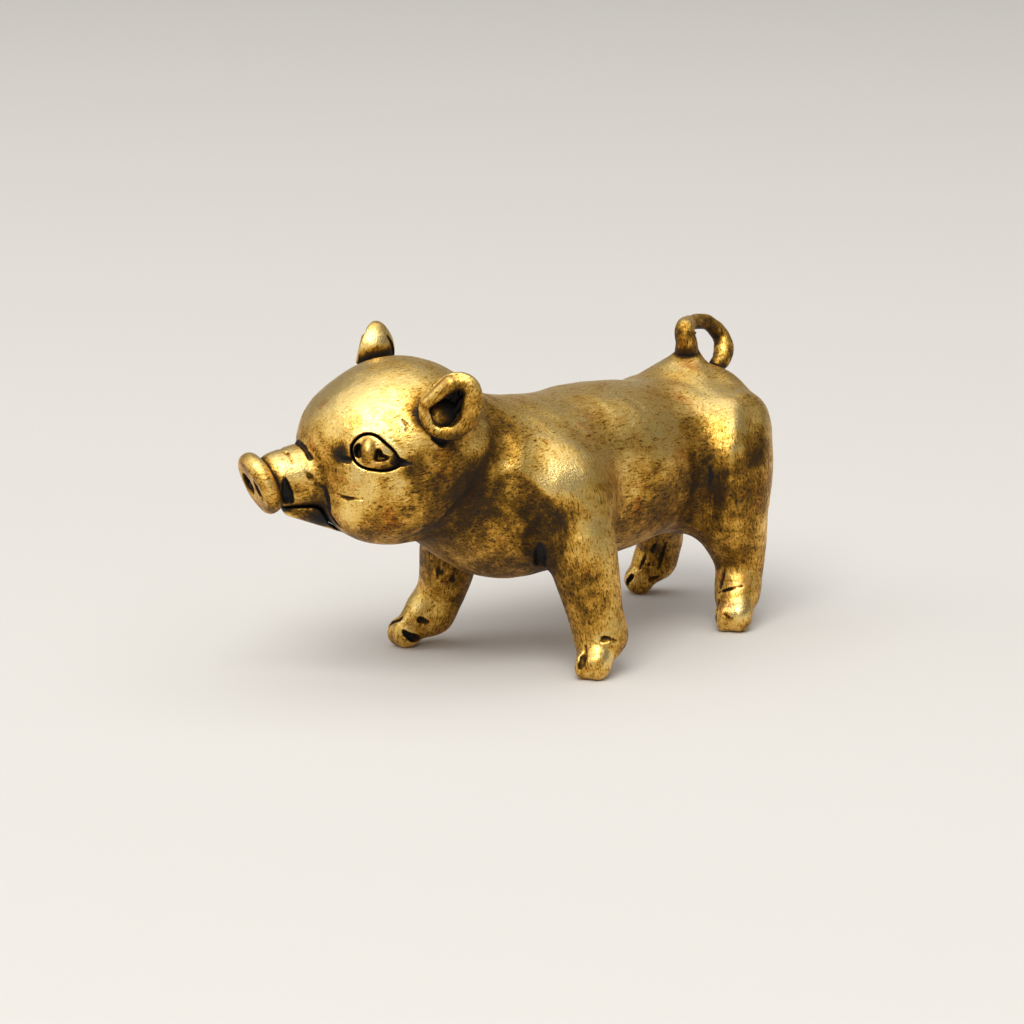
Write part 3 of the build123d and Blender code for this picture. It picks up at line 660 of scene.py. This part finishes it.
def join_corners(values):
    """Joins places of the grid that touch only across a square's diagonal, so that no edge has more than two faces."""
    for axis in (0, 1, 2, 0, 1, 2):
        layers = np.moveaxis(values, axis, 0)
        inside = layers < 0
        a, b, c, d = inside[:, :-1, :-1], inside[:, 1:, :-1], inside[:, 1:, 1:], inside[:, :-1, 1:]
        for i, j, k in np.argwhere((a == c) & (b == d) & (a != b)):
            square = [(i, j, k), (i, j + 1, k), (i, j + 1, k + 1), (i, j, k + 1)]
            outside = [corner for corner in square if layers[corner] >= 0]
            if len(outside) == 2:
                layers[min(outside, key=lambda corner: layers[corner])] = JUST_INSIDE
    return values


def nets(values, low, step):
    """Points and four-sided faces where the values change sign."""
    inside = values < 0
    cells = np.array(values.shape) - 1
    count = sum(inside[i:i + cells[0], j:j + cells[1], k:k + cells[2]].astype(np.int8) for i, j, k in CORNERS)
    crossed = np.argwhere((count > 0) & (count < 8))
    number = np.full(cells, -1, np.int64)
    number[tuple(crossed.T)] = np.arange(len(crossed))
    corner = np.stack([values[tuple((crossed + c).T)] for c in CORNERS], 1)
    total, hits = np.zeros((len(crossed), 3)), np.zeros(len(crossed))
    for a, b in EDGES:
        hit = (corner[:, a] < 0) != (corner[:, b] < 0)
        t = corner[hit, a] / (corner[hit, a] - corner[hit, b])
        total[hit] += CORNERS[a] + t[:, None] * (CORNERS[b] - CORNERS[a])
        hits[hit] += 1
    faces = []
    for axis in range(3):
        b, c = (axis + 1) % 3, (axis + 2) % 3
        first = np.moveaxis(np.moveaxis(inside, axis, 0)[:-1], 0, axis)
        second = np.moveaxis(np.moveaxis(inside, axis, 0)[1:], 0, axis)
        e = np.argwhere(first != second)
        e = e[(e[:, b] > 0) & (e[:, c] > 0) & (e[:, b] < cells[b]) & (e[:, c] < cells[c])]
        db, dc = np.eye(3, dtype=int)[b], np.eye(3, dtype=int)[c]
        quad = np.stack([number[tuple((e - d).T)] for d in (db + dc, dc, 0 * db, db)], 1)
        backwards = ~first[tuple(e.T)]
        quad[backwards] = quad[backwards, ::-1]
        faces.append(quad)
    return low + step * (crossed + total / hits[:, None]), np.concatenate(faces)


def halves(points, quads):
    """Each four-sided face as two triangles along its shorter diagonal."""
    a, b, c, d = quads.T
    short = np.linalg.norm(points[a] - points[c], axis=1) < np.linalg.norm(points[b] - points[d], axis=1)
    one = np.where(short[:, None], np.stack([a, b, c], 1), np.stack([a, b, d], 1))
    two = np.where(short[:, None], np.stack([a, c, d], 1), np.stack([b, c, d], 1))
    return np.concatenate([one, two])


def trim(points, triangles, side, step):
    """The part of a surface where a side form is positive, cut along its zero line."""
    value = in_parts(side, points)
    close = np.flatnonzero(np.abs(value) < 0.5 * step)
    away = slope(side, points[close])
    steep = np.maximum(np.linalg.norm(away, axis=1), 0.1)
    close, away, steep = (item[np.abs(value[close]) < 0.25 * step * steep] for item in (close, away, steep))
    points = points.copy()
    points[close] -= (value[close] / steep ** 2)[:, None] * away
    value[close] = 0
    signs = value[triangles]
    kept = triangles[(signs >= 0).all(1)]
    across = triangles[(signs >= 0).any(1) & (signs < 0).any(1)]
    ahead = (value[across] >= 0).sum(1)
    lone = np.where(ahead == 1, (value[across] >= 0).argmax(1), (value[across] < 0).argmax(1))
    turned = np.stack([across[np.arange(len(across)), (lone + i) % 3] for i in range(3)], 1)
    ends = np.concatenate([turned[:, [0, 1]], turned[:, [0, 2]]])
    ends.sort(1)
    cuts, which = np.unique(ends, axis=0, return_inverse=True)
    which = which.reshape(-1)
    t = value[cuts[:, 0]] / (value[cuts[:, 0]] - value[cuts[:, 1]])
    fresh = points[cuts[:, 0]] + t[:, None] * (points[cuts[:, 1]] - points[cuts[:, 0]])
    label = len(points) + np.arange(len(cuts))
    label = np.where(value[cuts[:, 0]] == 0, cuts[:, 0], np.where(value[cuts[:, 1]] == 0, cuts[:, 1], label))
    one, two = label[which[:len(across)]], label[which[len(across):]]
    tip = ahead == 1
    kept = np.concatenate([
        kept, np.stack([turned[tip, 0], one[tip], two[tip]], 1),
        np.stack([one[~tip], turned[~tip, 1], turned[~tip, 2]], 1),
        np.stack([one[~tip], turned[~tip, 2], two[~tip]], 1)])
    whole_ones = (kept[:, 0] != kept[:, 1]) & (kept[:, 1] != kept[:, 2]) & (kept[:, 2] != kept[:, 0])
    return only_used(np.concatenate([points, fresh]), kept[whole_ones])


def only_used(points, triangles):
    """Only the points that are used."""
    used, triangles = np.unique(triangles, return_inverse=True)
    return points[used], triangles.reshape(-1, 3)


def cap(points, triangles):
    """Closes each open rim with a fan of triangles around its middle."""
    edges = np.concatenate([triangles[:, [0, 1]], triangles[:, [1, 2]], triangles[:, [2, 0]]])
    known = set(map(tuple, edges.tolist()))
    after = {a: b for a, b in known if (b, a) not in known}
    extra, fans = [], []
    while after:
        first, here = after.popitem()
        rim = [first]
        while here != first:
            rim.append(here)
            here = after.pop(here)
        middle = len(points) + len(extra)
        extra.append(points[rim].mean(0))
        fans += [(b, a, middle) for a, b in zip(rim, rim[1:] + rim[:1])]
    if not extra:
        return points, triangles
    return np.vstack([points, extra]), np.concatenate([triangles, fans])


def surface(form, low, high, step, *sides):
    """A form's surface inside a box, cut off by side forms, as points, triangles and directions."""
    values = join_corners(lattice(form, np.asarray(low, float), np.asarray(high, float), step))
    points, quads = nets(values, low, step)
    points = in_parts(lambda p: settle(form, p), points)
    triangles = halves(points, quads)
    for side in sides:
        points, triangles = trim(points, triangles, side, step)
    points, triangles = cap(points, triangles)
    away = in_parts(lambda p: slope(form, p), points)
    return points, triangles, away / np.maximum(np.linalg.norm(away, axis=1), 1e-6)[:, None]


# Patina, with painted light and shade. A patch darkens where more patina was left on and lightens where handling has
# rubbed it off; some dark patches are painted shade and some light ones painted highlights: place, radius and share.

# In the head's axes. Dark patches round the eye are patina, those under the ear and the jaw painted shade; light ones
# on the forehead, cheek and muzzle top are painted highlights.
HEAD_PATINA_AND_PAINTED_LIGHT = [
    (5.22, 3.39, 2.09, 1.2, 0.4), (1.2, 5.66, 0.8, 1.4, 0.35), (0.18, 5.97, -0.21, 1.6, 0.12),
    (-1.69, 5.53, -1.74, 2.6, 0.2), (-2.86, 5.53, -0.26, 2.2, 0.16), (-1.56, 5.8, 1.45, 1.5, 0.25),
    (-0.93, 4.52, -3.97, 2.0, 0.15), (6.48, 2.09, -1.47, 1.1, 0.08), (1.15, 4.73, 3.37, 0.7, -0.2),
    (6.0, 1.5, -3.0, 1.6, 0.45), (9.95, 0.75, -0.45, 0.75, 0.7), (5.15, 3.45, 1.7, 0.9, 0.35),
    (-0.6, 5.0, 4.6, 1.3, -0.3), (3.65, 4.6, 1.92, 0.8, -0.3), (3.6, 1.2, 4.8, 3.4, -0.35),
    (4.6, 4.8, -0.35, 1.8, -0.3), (2.24, 5.8, -0.53, 1.5, -0.2), (5.17, 4.19, -2.13, 1.8, -0.25),
    (7.45, 1.85, 1.05, 1.6, -0.3)]
# On the pig's left, mirrored to its right. Dark patches at the back of the thigh are painted shade, light ones on the
# shoulder, hip, rump and hooves painted highlights; the rest darken the chest, flank and legs.
BODY_PATINA_AND_PAINTED_LIGHT = [
    (-9.74, -4.11, 16.13, 2.4, 0.08), (-13.09, -3.68, 11.24, 2.4, 0.12), (-10.74, -4.15, 9.25, 2.4, 0.06),
    (-9.23, -5.43, 10.21, 2.0, 0.06), (-10.34, -5.12, 12.02, 2.0, 0.1), (3.0, -5.6, 10.2, 4.0, 0.14),
    (-1.2, -5.4, 13.6, 2.6, -0.22), (7.5, -5.6, 12.8, 1.0, 0.15), (7.7, -5.6, 11.0, 1.3, 0.2),
    (9.0, -7.2, 10.3, 3.0, 0.15), (-7.0, -7.6, 6.2, 3.0, 0.12), (10.37, -6.11, 4.99, 2.0, 0.12),
    (-7.9, -6.4, 13.5, 2.6, -0.35), (-6.0, -7.6, 11.2, 2.0, -0.2), (9.6, -4.35, 16.5, 3.4, -0.25),
    (9.9, -6.4, 14.6, 1.1, -0.3), (9.2, -6.8, 13.2, 1.0, -0.25), (11.6, -6.6, 14.0, 1.8, 0.12),
    (11.2, -7.0, 12.6, 1.8, 0.14), (9.36, -7.01, 1.77, 1.3, -0.45), (-6.3, -9.0, 1.5, 1.0, -0.4)]
EYE_SMUDGES = [  # in an eye's own axes: its pits and the white behind
    (-0.82, 0.1, -0.1, 0.5, 0.7), (0.5, -0.15, -0.1, 0.42, 0.6), (0.85, -0.3, -0.1, 0.42, 0.6),
    (0.8, 0.28, 0.1, 0.5, 0.2)]
EAR_HOLLOW_SMUDGE = 1.35, 0.75  # radius and share
RIGHT_EAR_SMUDGE = vec(0, -0.9, -1.2), 1.7, -0.4  # on the back of that ear, in its own axes

PATINA_AND_PAINTED_LIGHT_PATCHES = [
    (place(side, x, y, z), radius, share)
    for patches, place in ((HEAD_PATINA_AND_PAINTED_LIGHT, head_place), (BODY_PATINA_AND_PAINTED_LIGHT, body_place))
    for x, y, z, radius, share in patches for side in (LEFT, RIGHT)]
for x, y, z, radius, share in EYE_SMUDGES:
    PATINA_AND_PAINTED_LIGHT_PATCHES += [(middle + axes @ vec(x, y, z), radius, share) for middle, axes in EYES.values()]
for side, (middle, axes) in EARS.items():
    radius, share = EAR_HOLLOW_SMUDGE
    PATINA_AND_PAINTED_LIGHT_PATCHES.append((middle - EAR_SIZES[side] * axes[:, 2], radius * EAR_SIZES[side], share))
place, radius, share = RIGHT_EAR_SMUDGE
PATINA_AND_PAINTED_LIGHT_PATCHES.append((EARS[RIGHT][0] + EARS[RIGHT][1] @ place, radius, share))

CREVICES = ((0.2, 0.3), (0.5, 0.3), (1.1, 0.25), (2.4, 0.2))  # reach and share
# Painted shade on the sides and undersides and painted light on the tops, by which way a place faces; patina in the
# valleys and chisel marks
SIDE_PAINTED_SHADE, TOP_PAINTED_LIGHT, VALLEY_STAIN, CHISEL_STAIN = 0.4, 0.24, 0.16, 0.5
VALLEY_STAIN_REACH = 0.5
CHISEL_STAIN_NEAR, CHISEL_STAIN_DEPTH = 0.1, 0.25


def patina_and_painted_light(points, away):
    """Where patina stays, with painted light and shade: 0 in the open, 1 at the bottom of a crevice, a share of
    painted shade on the sides and undersides, and less than 0 where the patina is rubbed off and where light is
    painted on the tops and in painted highlights."""
    found = np.zeros(len(points))
    for reach, share in CREVICES:
        found += share * (1 - np.clip(in_parts(whole, points + reach * away) / reach, 0, 1))
    # Painted shade: sides and undersides darker by which way they face. Painted light: tops lighter.
    found += SIDE_PAINTED_SHADE * np.clip(0.45 - away[:, 2], 0, 0.6) * np.clip(0.3 + points[:, 2] / 4, 0, 1)
    found -= TOP_PAINTED_LIGHT * np.clip(away[:, 2] - 0.5, 0, 0.5)
    for line in VALLEY_LINES:
        near = within(points, *line_box(line, VALLEY_STAIN_REACH))
        found[near] += VALLEY_STAIN * np.clip(1 - bars(points[near], line) / VALLEY_STAIN_REACH, 0, 1)
    for line in CHISEL_LINES:
        near = within(points, *line_box(line, 2 * CHISEL_STAIN_NEAR))
        near = near[bars(points[near], line) < CHISEL_STAIN_NEAR]
        if len(near):
            found[near] += CHISEL_STAIN * np.clip(-body(points[near]) / CHISEL_STAIN_DEPTH - 0.15, 0, 1)
    # Patina patches, and patches of painted shade and painted highlights
    for place, radius, share in PATINA_AND_PAINTED_LIGHT_PATCHES:
        fade = np.clip(1 - np.linalg.norm(points - place, axis=1) / radius, 0, 1)
        found += share * fade * fade * (3 - 2 * fade)
    return np.clip(found, -0.4, 1)


def edge(points, away, reach=0.4):
    """How sharp a ridge a place lies on: 0 on a flat or hollow, 1 on a point."""
    return np.clip(1 + in_parts(whole, points - reach * away) / reach, 0, 1)


# Materials


def colour(code):
    """sRGB hex to linear light."""
    shares = [int(code[i:i + 2], 16) / 255 for i in (1, 3, 5)]
    return (*[s / 12.92 if s <= 0.04045 else ((s + 0.055) / 1.055) ** 2.4 for s in shares], 1.0)


def node(tree, kind, settings=(), inputs=()):
    """Adds a node. An input is a plain value or another node's output."""
    made = tree.nodes.new(kind)
    for name, value in dict(settings).items():
        setattr(made, name, value)
    for name, value in dict(inputs).items():
        if isinstance(value, bpy.types.NodeSocket):
            tree.links.new(value, made.inputs[name])
        else:
            made.inputs[name].default_value = value
    return made


def per_mm(size):
    """Texture scale for a pattern of this size in millimetres, as coordinates are in metres."""
    return 1000 / size


CLOUD, DRIFT, GRAIN, BLOOM = 3.0, 0.9, 0.18, 2.3  # sizes of the patina's patches, mm
STROKE_LONG, STROKE_WIDE = 0.55, 0.12  # a brush stroke, mm


def brass_with_patina_and_painted_light():
    """Cast brass, darkened with a patina and rubbed back: pale gold on whatever stands proud, brown to black in the
    creases, painted shade making it darker on the sides and underneath and painted highlights making it paler in
    places, with short dark brush strokes and specks between, and a coppery bloom in places."""
    material = bpy.data.materials.new("brass, cast, patinated and rubbed back")
    material.use_nodes = True
    tree = material.node_tree
    tree.nodes.clear()
    place = node(tree, "ShaderNodeTexCoord").outputs["Object"]
    # Patina, with painted shade on the sides and undersides and painted highlights, from the mesh
    deep = node(tree, "ShaderNodeAttribute", {"attribute_name": "patina_and_painted_light"}).outputs["Fac"]
    proud = node(tree, "ShaderNodeAttribute", {"attribute_name": "edge"}).outputs["Fac"]
    along = node(tree, "ShaderNodeAttribute", {"attribute_name": "grain"}).outputs["Vector"]
    clouds, drifts, grain, bloom = (node(tree, "ShaderNodeTexNoise", {}, {
        "Vector": place, "Scale": per_mm(size), "Detail": 4.0, "Roughness": 0.62}).outputs["Fac"]
        for size in (CLOUD, DRIFT, GRAIN, BLOOM))
    brushed = node(tree, "ShaderNodeMapping", {}, {
        "Vector": along, "Rotation": (0.0, 0.3, 0.25),
        "Scale": (1 / STROKE_LONG, 1 / STROKE_WIDE, 1 / STROKE_WIDE)}).outputs["Vector"]
    strokes = node(tree, "ShaderNodeTexNoise", {}, {
        "Vector": brushed, "Scale": 1.0, "Detail": 3.0, "Roughness": 0.6, "Distortion": 0.9}).outputs["Fac"]
    hairs, specks, coppery = (node(tree, "ShaderNodeMapRange", {}, {
        "Value": source, "From Min": low, "From Max": high, "To Max": most}).outputs["Result"]
        for source, low, high, most in (
            (strokes, 0.55, 0.72, 1.0), (grain, 0.6, 0.75, 1.0), (bloom, 0.58, 0.72, 0.5)))
    patina_and_light_level = 0.0
    for source, share in ((deep, 1.5), (clouds, 1.2), (drifts, 0.9), (strokes, 0.55), (hairs, 0.5), (grain, 0.6),
                          (specks, 0.6), (proud, -0.7)):
        patina_and_light_level = node(tree, "ShaderNodeMath", {"operation": "MULTIPLY_ADD"}, {0: source, 1: share, 2: patina_and_light_level}).outputs[0]
    patina_and_light_level = node(tree, "ShaderNodeMapRange", {}, {
        "Value": patina_and_light_level, "From Min": 1.42, "From Max": 2.92}).outputs["Result"]
    ramp = node(tree, "ShaderNodeValToRGB", {}, {"Fac": patina_and_light_level})
    stops = ramp.color_ramp.elements
    stops[0].color, stops[1].color = colour("#fbd98a"), colour("#0d0804")
    for position, code in ((0.2, "#eec56a"), (0.36, "#ca983e"), (0.5, "#8d6624"), (0.68, "#4a3312")):
        stops.new(position).color = colour(code)
    tint = node(tree, "ShaderNodeMix", {"data_type": "RGBA", "blend_type": "MULTIPLY"}, {
        0: coppery, 6: ramp.outputs["Color"], 7: colour("#e89a62")}).outputs[2]
    dull, bare = (node(tree, "ShaderNodeMapRange", {}, {
        "Value": patina_and_light_level, "From Min": low, "From Max": high, "To Min": first, "To Max": last}).outputs["Result"]
        for low, high, first, last in ((0.0, 0.8, 0.27, 0.6), (0.55, 1.0, 1.0, 0.5)))
    relief = grain
    for source in (drifts, strokes):
        relief = node(tree, "ShaderNodeMath", {"operation": "ADD"}, {0: source, 1: relief}).outputs[0]
    bump = node(tree, "ShaderNodeBump", {}, {"Strength": 0.5, "Distance": 0.00006, "Height": relief}).outputs["Normal"]
    shader = node(tree, "ShaderNodeBsdfPrincipled", {}, {
        "Base Color": tint, "Metallic": bare, "Roughness": dull, "Normal": bump}).outputs["BSDF"]
    node(tree, "ShaderNodeOutputMaterial", {}, {"Surface": shader})
    return material


BRASS = brass_with_patina_and_painted_light()


def axes_along(direction):
    """Axes as columns, the first along a direction."""
    first = unit(direction)
    second = unit(np.cross(first, vec(0.3, 0.9, 0.2)))
    return np.stack([first, second, np.cross(first, second)], 1)


def make_piece(name, grain, points, triangles, away):
    """Turns one node's surface into its finished piece. Brush strokes run along the first column of grain."""
    mesh = bpy.data.meshes.new(name)
    mesh.from_pydata(((points + PLACE) / 1000).tolist(), [], triangles.tolist())
    mesh.polygons.foreach_set("use_smooth", np.ones(len(triangles), bool))
    mesh.materials.append(BRASS)
    mesh.normals_split_custom_set_from_vertices(away.tolist())
    return add_piece(name, mesh, grain, points, away)


def add_piece(name, mesh, grain, points, away):
    patina_and_light_level = patina_and_painted_light(points, away)
    rubbed = edge(points, away) * np.clip(1.1 - 1.4 * patina_and_light_level, 0, 1)
    mesh.attributes.new("patina_and_painted_light", "FLOAT", "POINT").data.foreach_set("value", patina_and_light_level)
    mesh.attributes.new("edge", "FLOAT", "POINT").data.foreach_set("value", rubbed)
    mesh.attributes.new("grain", "FLOAT_VECTOR", "POINT").data.foreach_set("vector", (points @ grain).ravel())
    obj = bpy.data.objects.new(name + "_piece", mesh)
    bpy.context.scene.collection.objects.link(obj)
    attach(obj, "root")
    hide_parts(name)
    return obj


# The head ends at the neck face, and each leg where the torso's own surface lies nearer.

NECK_FACE, NECK_LEAN, NECK_TURN = vec(-10.6, 0.65, 13.5), math.radians(25), math.radians(12)
NECK_AXIS = vec(-math.cos(NECK_TURN) * math.cos(NECK_LEAN), math.sin(NECK_TURN) * math.cos(NECK_LEAN),
                math.sin(NECK_LEAN))


def ahead_of_neck(p):
    return (p - NECK_FACE) @ NECK_AXIS


def on_leg(name):
    return lambda p: barrel(p) - leg(p, name)


def behind(side):
    """The other side of a cut, with a slight lap."""
    return lambda p: SEAM_LAP - side(p)


leg_sides = {name: on_leg(name) for name in LEGS}
make_piece("torso", np.eye(3), *surface(
    skin, vec(-14, -8, 4.4), vec(17.6, 8, 19.5), TORSO_STEP, behind(ahead_of_neck),
    *[behind(side) for side in leg_sides.values()]))
make_piece("head", HEAD_AXES, *surface(skin, vec(-26, -6, 6.5), vec(-7.5, 10, 22.5), HEAD_STEP, ahead_of_neck))
for name, side in leg_sides.items():
    low, high = line_box(LEG_LINES[name], 1.2)
    low[2] = -0.5
    along = axes_along(LEGS[name][-2][0] - LEGS[name][0][0])
    make_piece(name, along, *surface(skin, low, high, LEG_STEP, side))


def make_small_piece(name, grain, form, middle, half):
    make_piece(name, grain, *surface(form, middle - half, middle + half, SMALL_STEP))


SMALL_HALF, EYE_GRID_HALF = 4, 2.5  # half the grid round a small piece
make_small_piece("snout_disc", HEAD_AXES, snout, SNOUT, SMALL_HALF)
make_small_piece("lower_jaw", HEAD_AXES, jaw, on_head(6, 0, -3), SMALL_HALF)
for side, word in ((LEFT, "left"), (RIGHT, "right")):
    middle, axes = EARS[side]
    make_small_piece(word + "_ear", axes[:, [1, 0, 2]], lambda p: ear(p, side), middle, SMALL_HALF)
    middle, axes = EYES[side]
    make_small_piece(word + "_eye", axes, lambda p: eye(p, side), middle, EYE_GRID_HALF)


# Tail, a round section along its path


def tail_tree():
    """Geometry Nodes: a tapered rod along a path, lightly grooved."""
    tree = bpy.data.node_groups.new("tail rod", "GeometryNodeTree")
    sockets = {
        name: tree.interface.new_socket(name, in_out="INPUT", socket_type=kind) for name, kind in (
            ("Path", "NodeSocketGeometry"), ("Sides", "NodeSocketInt"), ("Groove depth", "NodeSocketFloat"),
            ("Groove scale", "NodeSocketFloat"), ("Finish", "NodeSocketMaterial"))}
    tree.interface.new_socket("Rod", in_out="OUTPUT", socket_type="NodeSocketGeometry")
    given = node(tree, "NodeGroupInput").outputs
    circle = node(tree, "GeometryNodeCurvePrimitiveCircle", {}, {
        "Resolution": given["Sides"], "Radius": 1.0}).outputs["Curve"]
    thick = node(tree, "GeometryNodeInputRadius").outputs["Radius"]
    rod = node(tree, "GeometryNodeCurveToMesh", {}, {
        "Curve": given["Path"], "Profile Curve": circle, "Scale": thick, "Fill Caps": True}).outputs["Mesh"]
    noise = node(tree, "ShaderNodeTexNoise", {}, {
        "Scale": given["Groove scale"], "Detail": 2.0, "Roughness": 0.5}).outputs[0]
    depth = node(tree, "ShaderNodeMath", {"operation": "MULTIPLY"}, {0: noise, 1: given["Groove depth"]}).outputs[0]
    inward = node(tree, "ShaderNodeVectorMath", {"operation": "SCALE"}, {
        "Vector": node(tree, "GeometryNodeInputNormal").outputs["Normal"], "Scale": depth}).outputs["Vector"]
    grooved = node(tree, "GeometryNodeSetPosition", {}, {"Geometry": rod, "Offset": inward}).outputs["Geometry"]
    smooth = node(tree, "GeometryNodeSetShadeSmooth", {}, {"Geometry": grooved}).outputs["Geometry"]
    real = node(tree, "GeometryNodeRealizeInstances", {}, {"Geometry": smooth}).outputs["Geometry"]
    done = node(tree, "GeometryNodeSetMaterial", {}, {
        "Geometry": real, "Material": given["Finish"]}).outputs["Geometry"]
    node(tree, "NodeGroupOutput", {}, {"Rod": done})
    return tree, sockets


TAIL_SIDES, TAIL_PIECES = 40, 14
GROOVE_DEPTH, GROOVE_SIZE = 0.16, 0.9  # mm


def make_tail():
    line = flowing(TAIL, TAIL_PIECES)
    tip, before = line[-1], line[-2]
    way = unit(tip[:3] - before[:3])
    rounding = [[*(tip[:3] + way * tip[3] * math.sin(a)), tip[3] * max(math.cos(a), 0.02)]
                for a in np.linspace(0.2, math.pi / 2, 8)]
    line = np.vstack([line, rounding])
    path = bpy.data.curves.new("tail path", "CURVE")
    path.dimensions = "3D"
    spline = path.splines.new("POLY")
    spline.points.add(len(line) - 1)
    for point, (x, y, z, radius) in zip(spline.points, line):
        point.co = (*((vec(x, y, z) + PLACE) / 1000), 1)
        point.radius = radius / 1000
    obj = bpy.data.objects.new("tail path", path)
    bpy.context.scene.collection.objects.link(obj)
    tree, sockets = tail_tree()
    rod = obj.modifiers.new("rod", "NODES")
    rod.node_group = tree
    for name, value in (("Sides", TAIL_SIDES), ("Groove depth", -GROOVE_DEPTH / 1000),
                        ("Groove scale", per_mm(GROOVE_SIZE)), ("Finish", BRASS)):
        rod[sockets[name].identifier] = value
    shown = obj.evaluated_get(bpy.context.evaluated_depsgraph_get())
    mesh = bpy.data.meshes.new_from_object(shown)
    obj.modifiers.remove(rod)
    bpy.data.objects.remove(obj)
    points = np.empty(len(mesh.vertices) * 3)
    mesh.vertices.foreach_get("co", points)
    points = points.reshape(-1, 3) * 1000 - PLACE
    away = np.empty(len(mesh.vertices) * 3)
    mesh.vertex_normals.foreach_get("vector", away)
    add_piece("tail", mesh, axes_along(vec(0, 0, 1)), points, away.reshape(-1, 3))


make_tail()

# Floor, light and camera

CAMERA_AT = vec(-209.252, -190.981, 71.337)
CAMERA_TURN, CAMERA_TILT = math.radians(-46.764), math.radians(12.386)
CAMERA_LENS = 149.7  # mm on a 36 mm wide sensor


def stage_object(name, data):
    obj = bpy.data.objects.new(name, data)
    bpy.context.scene.collection.objects.link(obj)
    return obj


def matt_card():
    """Matt painted card: an even pale ground without a highlight."""
    material = bpy.data.materials.new("card, matt painted")
    material.use_nodes = True
    shader = material.node_tree.nodes["Principled BSDF"]
    shader.inputs["Base Color"].default_value = colour("#d8d4cd")
    shader.inputs["Roughness"].default_value = 0.9
    return material


SWEEP_HALF, SWEEP_BACK, SWEEP_BEND, SWEEP_TOP = 3.0, 0.9, 0.5, 2.5  # metres
bend = [(SWEEP_BACK + SWEEP_BEND * math.sin(a), SWEEP_BEND * (1 - math.cos(a)))
        for a in np.linspace(0, math.pi / 2, 17)]
profile = [(-SWEEP_HALF, 0.0), *bend, (SWEEP_BACK + SWEEP_BEND, SWEEP_TOP)]
look = vec(-math.sin(CAMERA_TURN), math.cos(CAMERA_TURN), 0)
across = vec(math.cos(CAMERA_TURN), math.sin(CAMERA_TURN), 0)
corners = [tuple(look * run + across * aside + vec(0, 0, rise))
           for run, rise in profile for aside in (-SWEEP_HALF, SWEEP_HALF)]
sweep = bpy.data.meshes.new("sweep")
sweep.from_pydata(corners, [], [(2 * i, 2 * i + 1, 2 * i + 3, 2 * i + 2) for i in range(len(profile) - 1)])
sweep.polygons.foreach_set("use_smooth", np.ones(len(profile) - 1, bool))
sweep.materials.append(matt_card())
stage_object("sweep", sweep)


def turn_to(direction, roll_up=(0, 0, 1)):
    """Turn that makes a lamp or camera look along a direction."""
    back = -unit(direction)
    right = unit(np.cross(roll_up, back))
    return np.stack([right, np.cross(back, right), back], 1)


def set_place(obj, place, turn):
    matrix = np.eye(4)
    matrix[:3, :3], matrix[:3, 3] = turn, place
    obj.matrix_world = Matrix(matrix.tolist())


LAMPS_AIM = vec(0, 0, 0.011)
LAMPS = {  # place and size in metres, power in watts
    "overhead panel": ((-0.15, -0.1, 0.75), 1.5, 7.4),
    "key": ((-0.6, -0.4, 0.84), 0.6, 7.4),
    "side panel": ((-0.5, 0.5, 0.3), 0.6, 1.1),
}
for name, (place, size, power) in LAMPS.items():
    lamp = bpy.data.lights.new(name, "AREA")
    lamp.shape, lamp.size, lamp.energy = "SQUARE", size, power
    obj = stage_object(name, lamp)
    set_place(obj, vec(*place), turn_to(LAMPS_AIM - vec(*place)))

world = bpy.data.worlds.new("studio")
world.use_nodes = True
world.node_tree.nodes["Background"].inputs["Color"].default_value = colour("#c9c9cc")
world.node_tree.nodes["Background"].inputs["Strength"].default_value = 0.35
scene = bpy.context.scene
scene.world = world
scene.view_settings.view_transform = "Standard"

camera_data = bpy.data.cameras.new("camera")
camera_data.lens, camera_data.sensor_width = CAMERA_LENS, 36.0
camera_data.clip_start, camera_data.clip_end = 0.01, 20.0
camera = stage_object("camera", camera_data)
look = vec(-math.sin(CAMERA_TURN) * math.cos(CAMERA_TILT), math.cos(CAMERA_TURN) * math.cos(CAMERA_TILT),
           -math.sin(CAMERA_TILT))
set_place(camera, (CAMERA_AT + PLACE) / 1000, turn_to(look))
scene.camera = camera
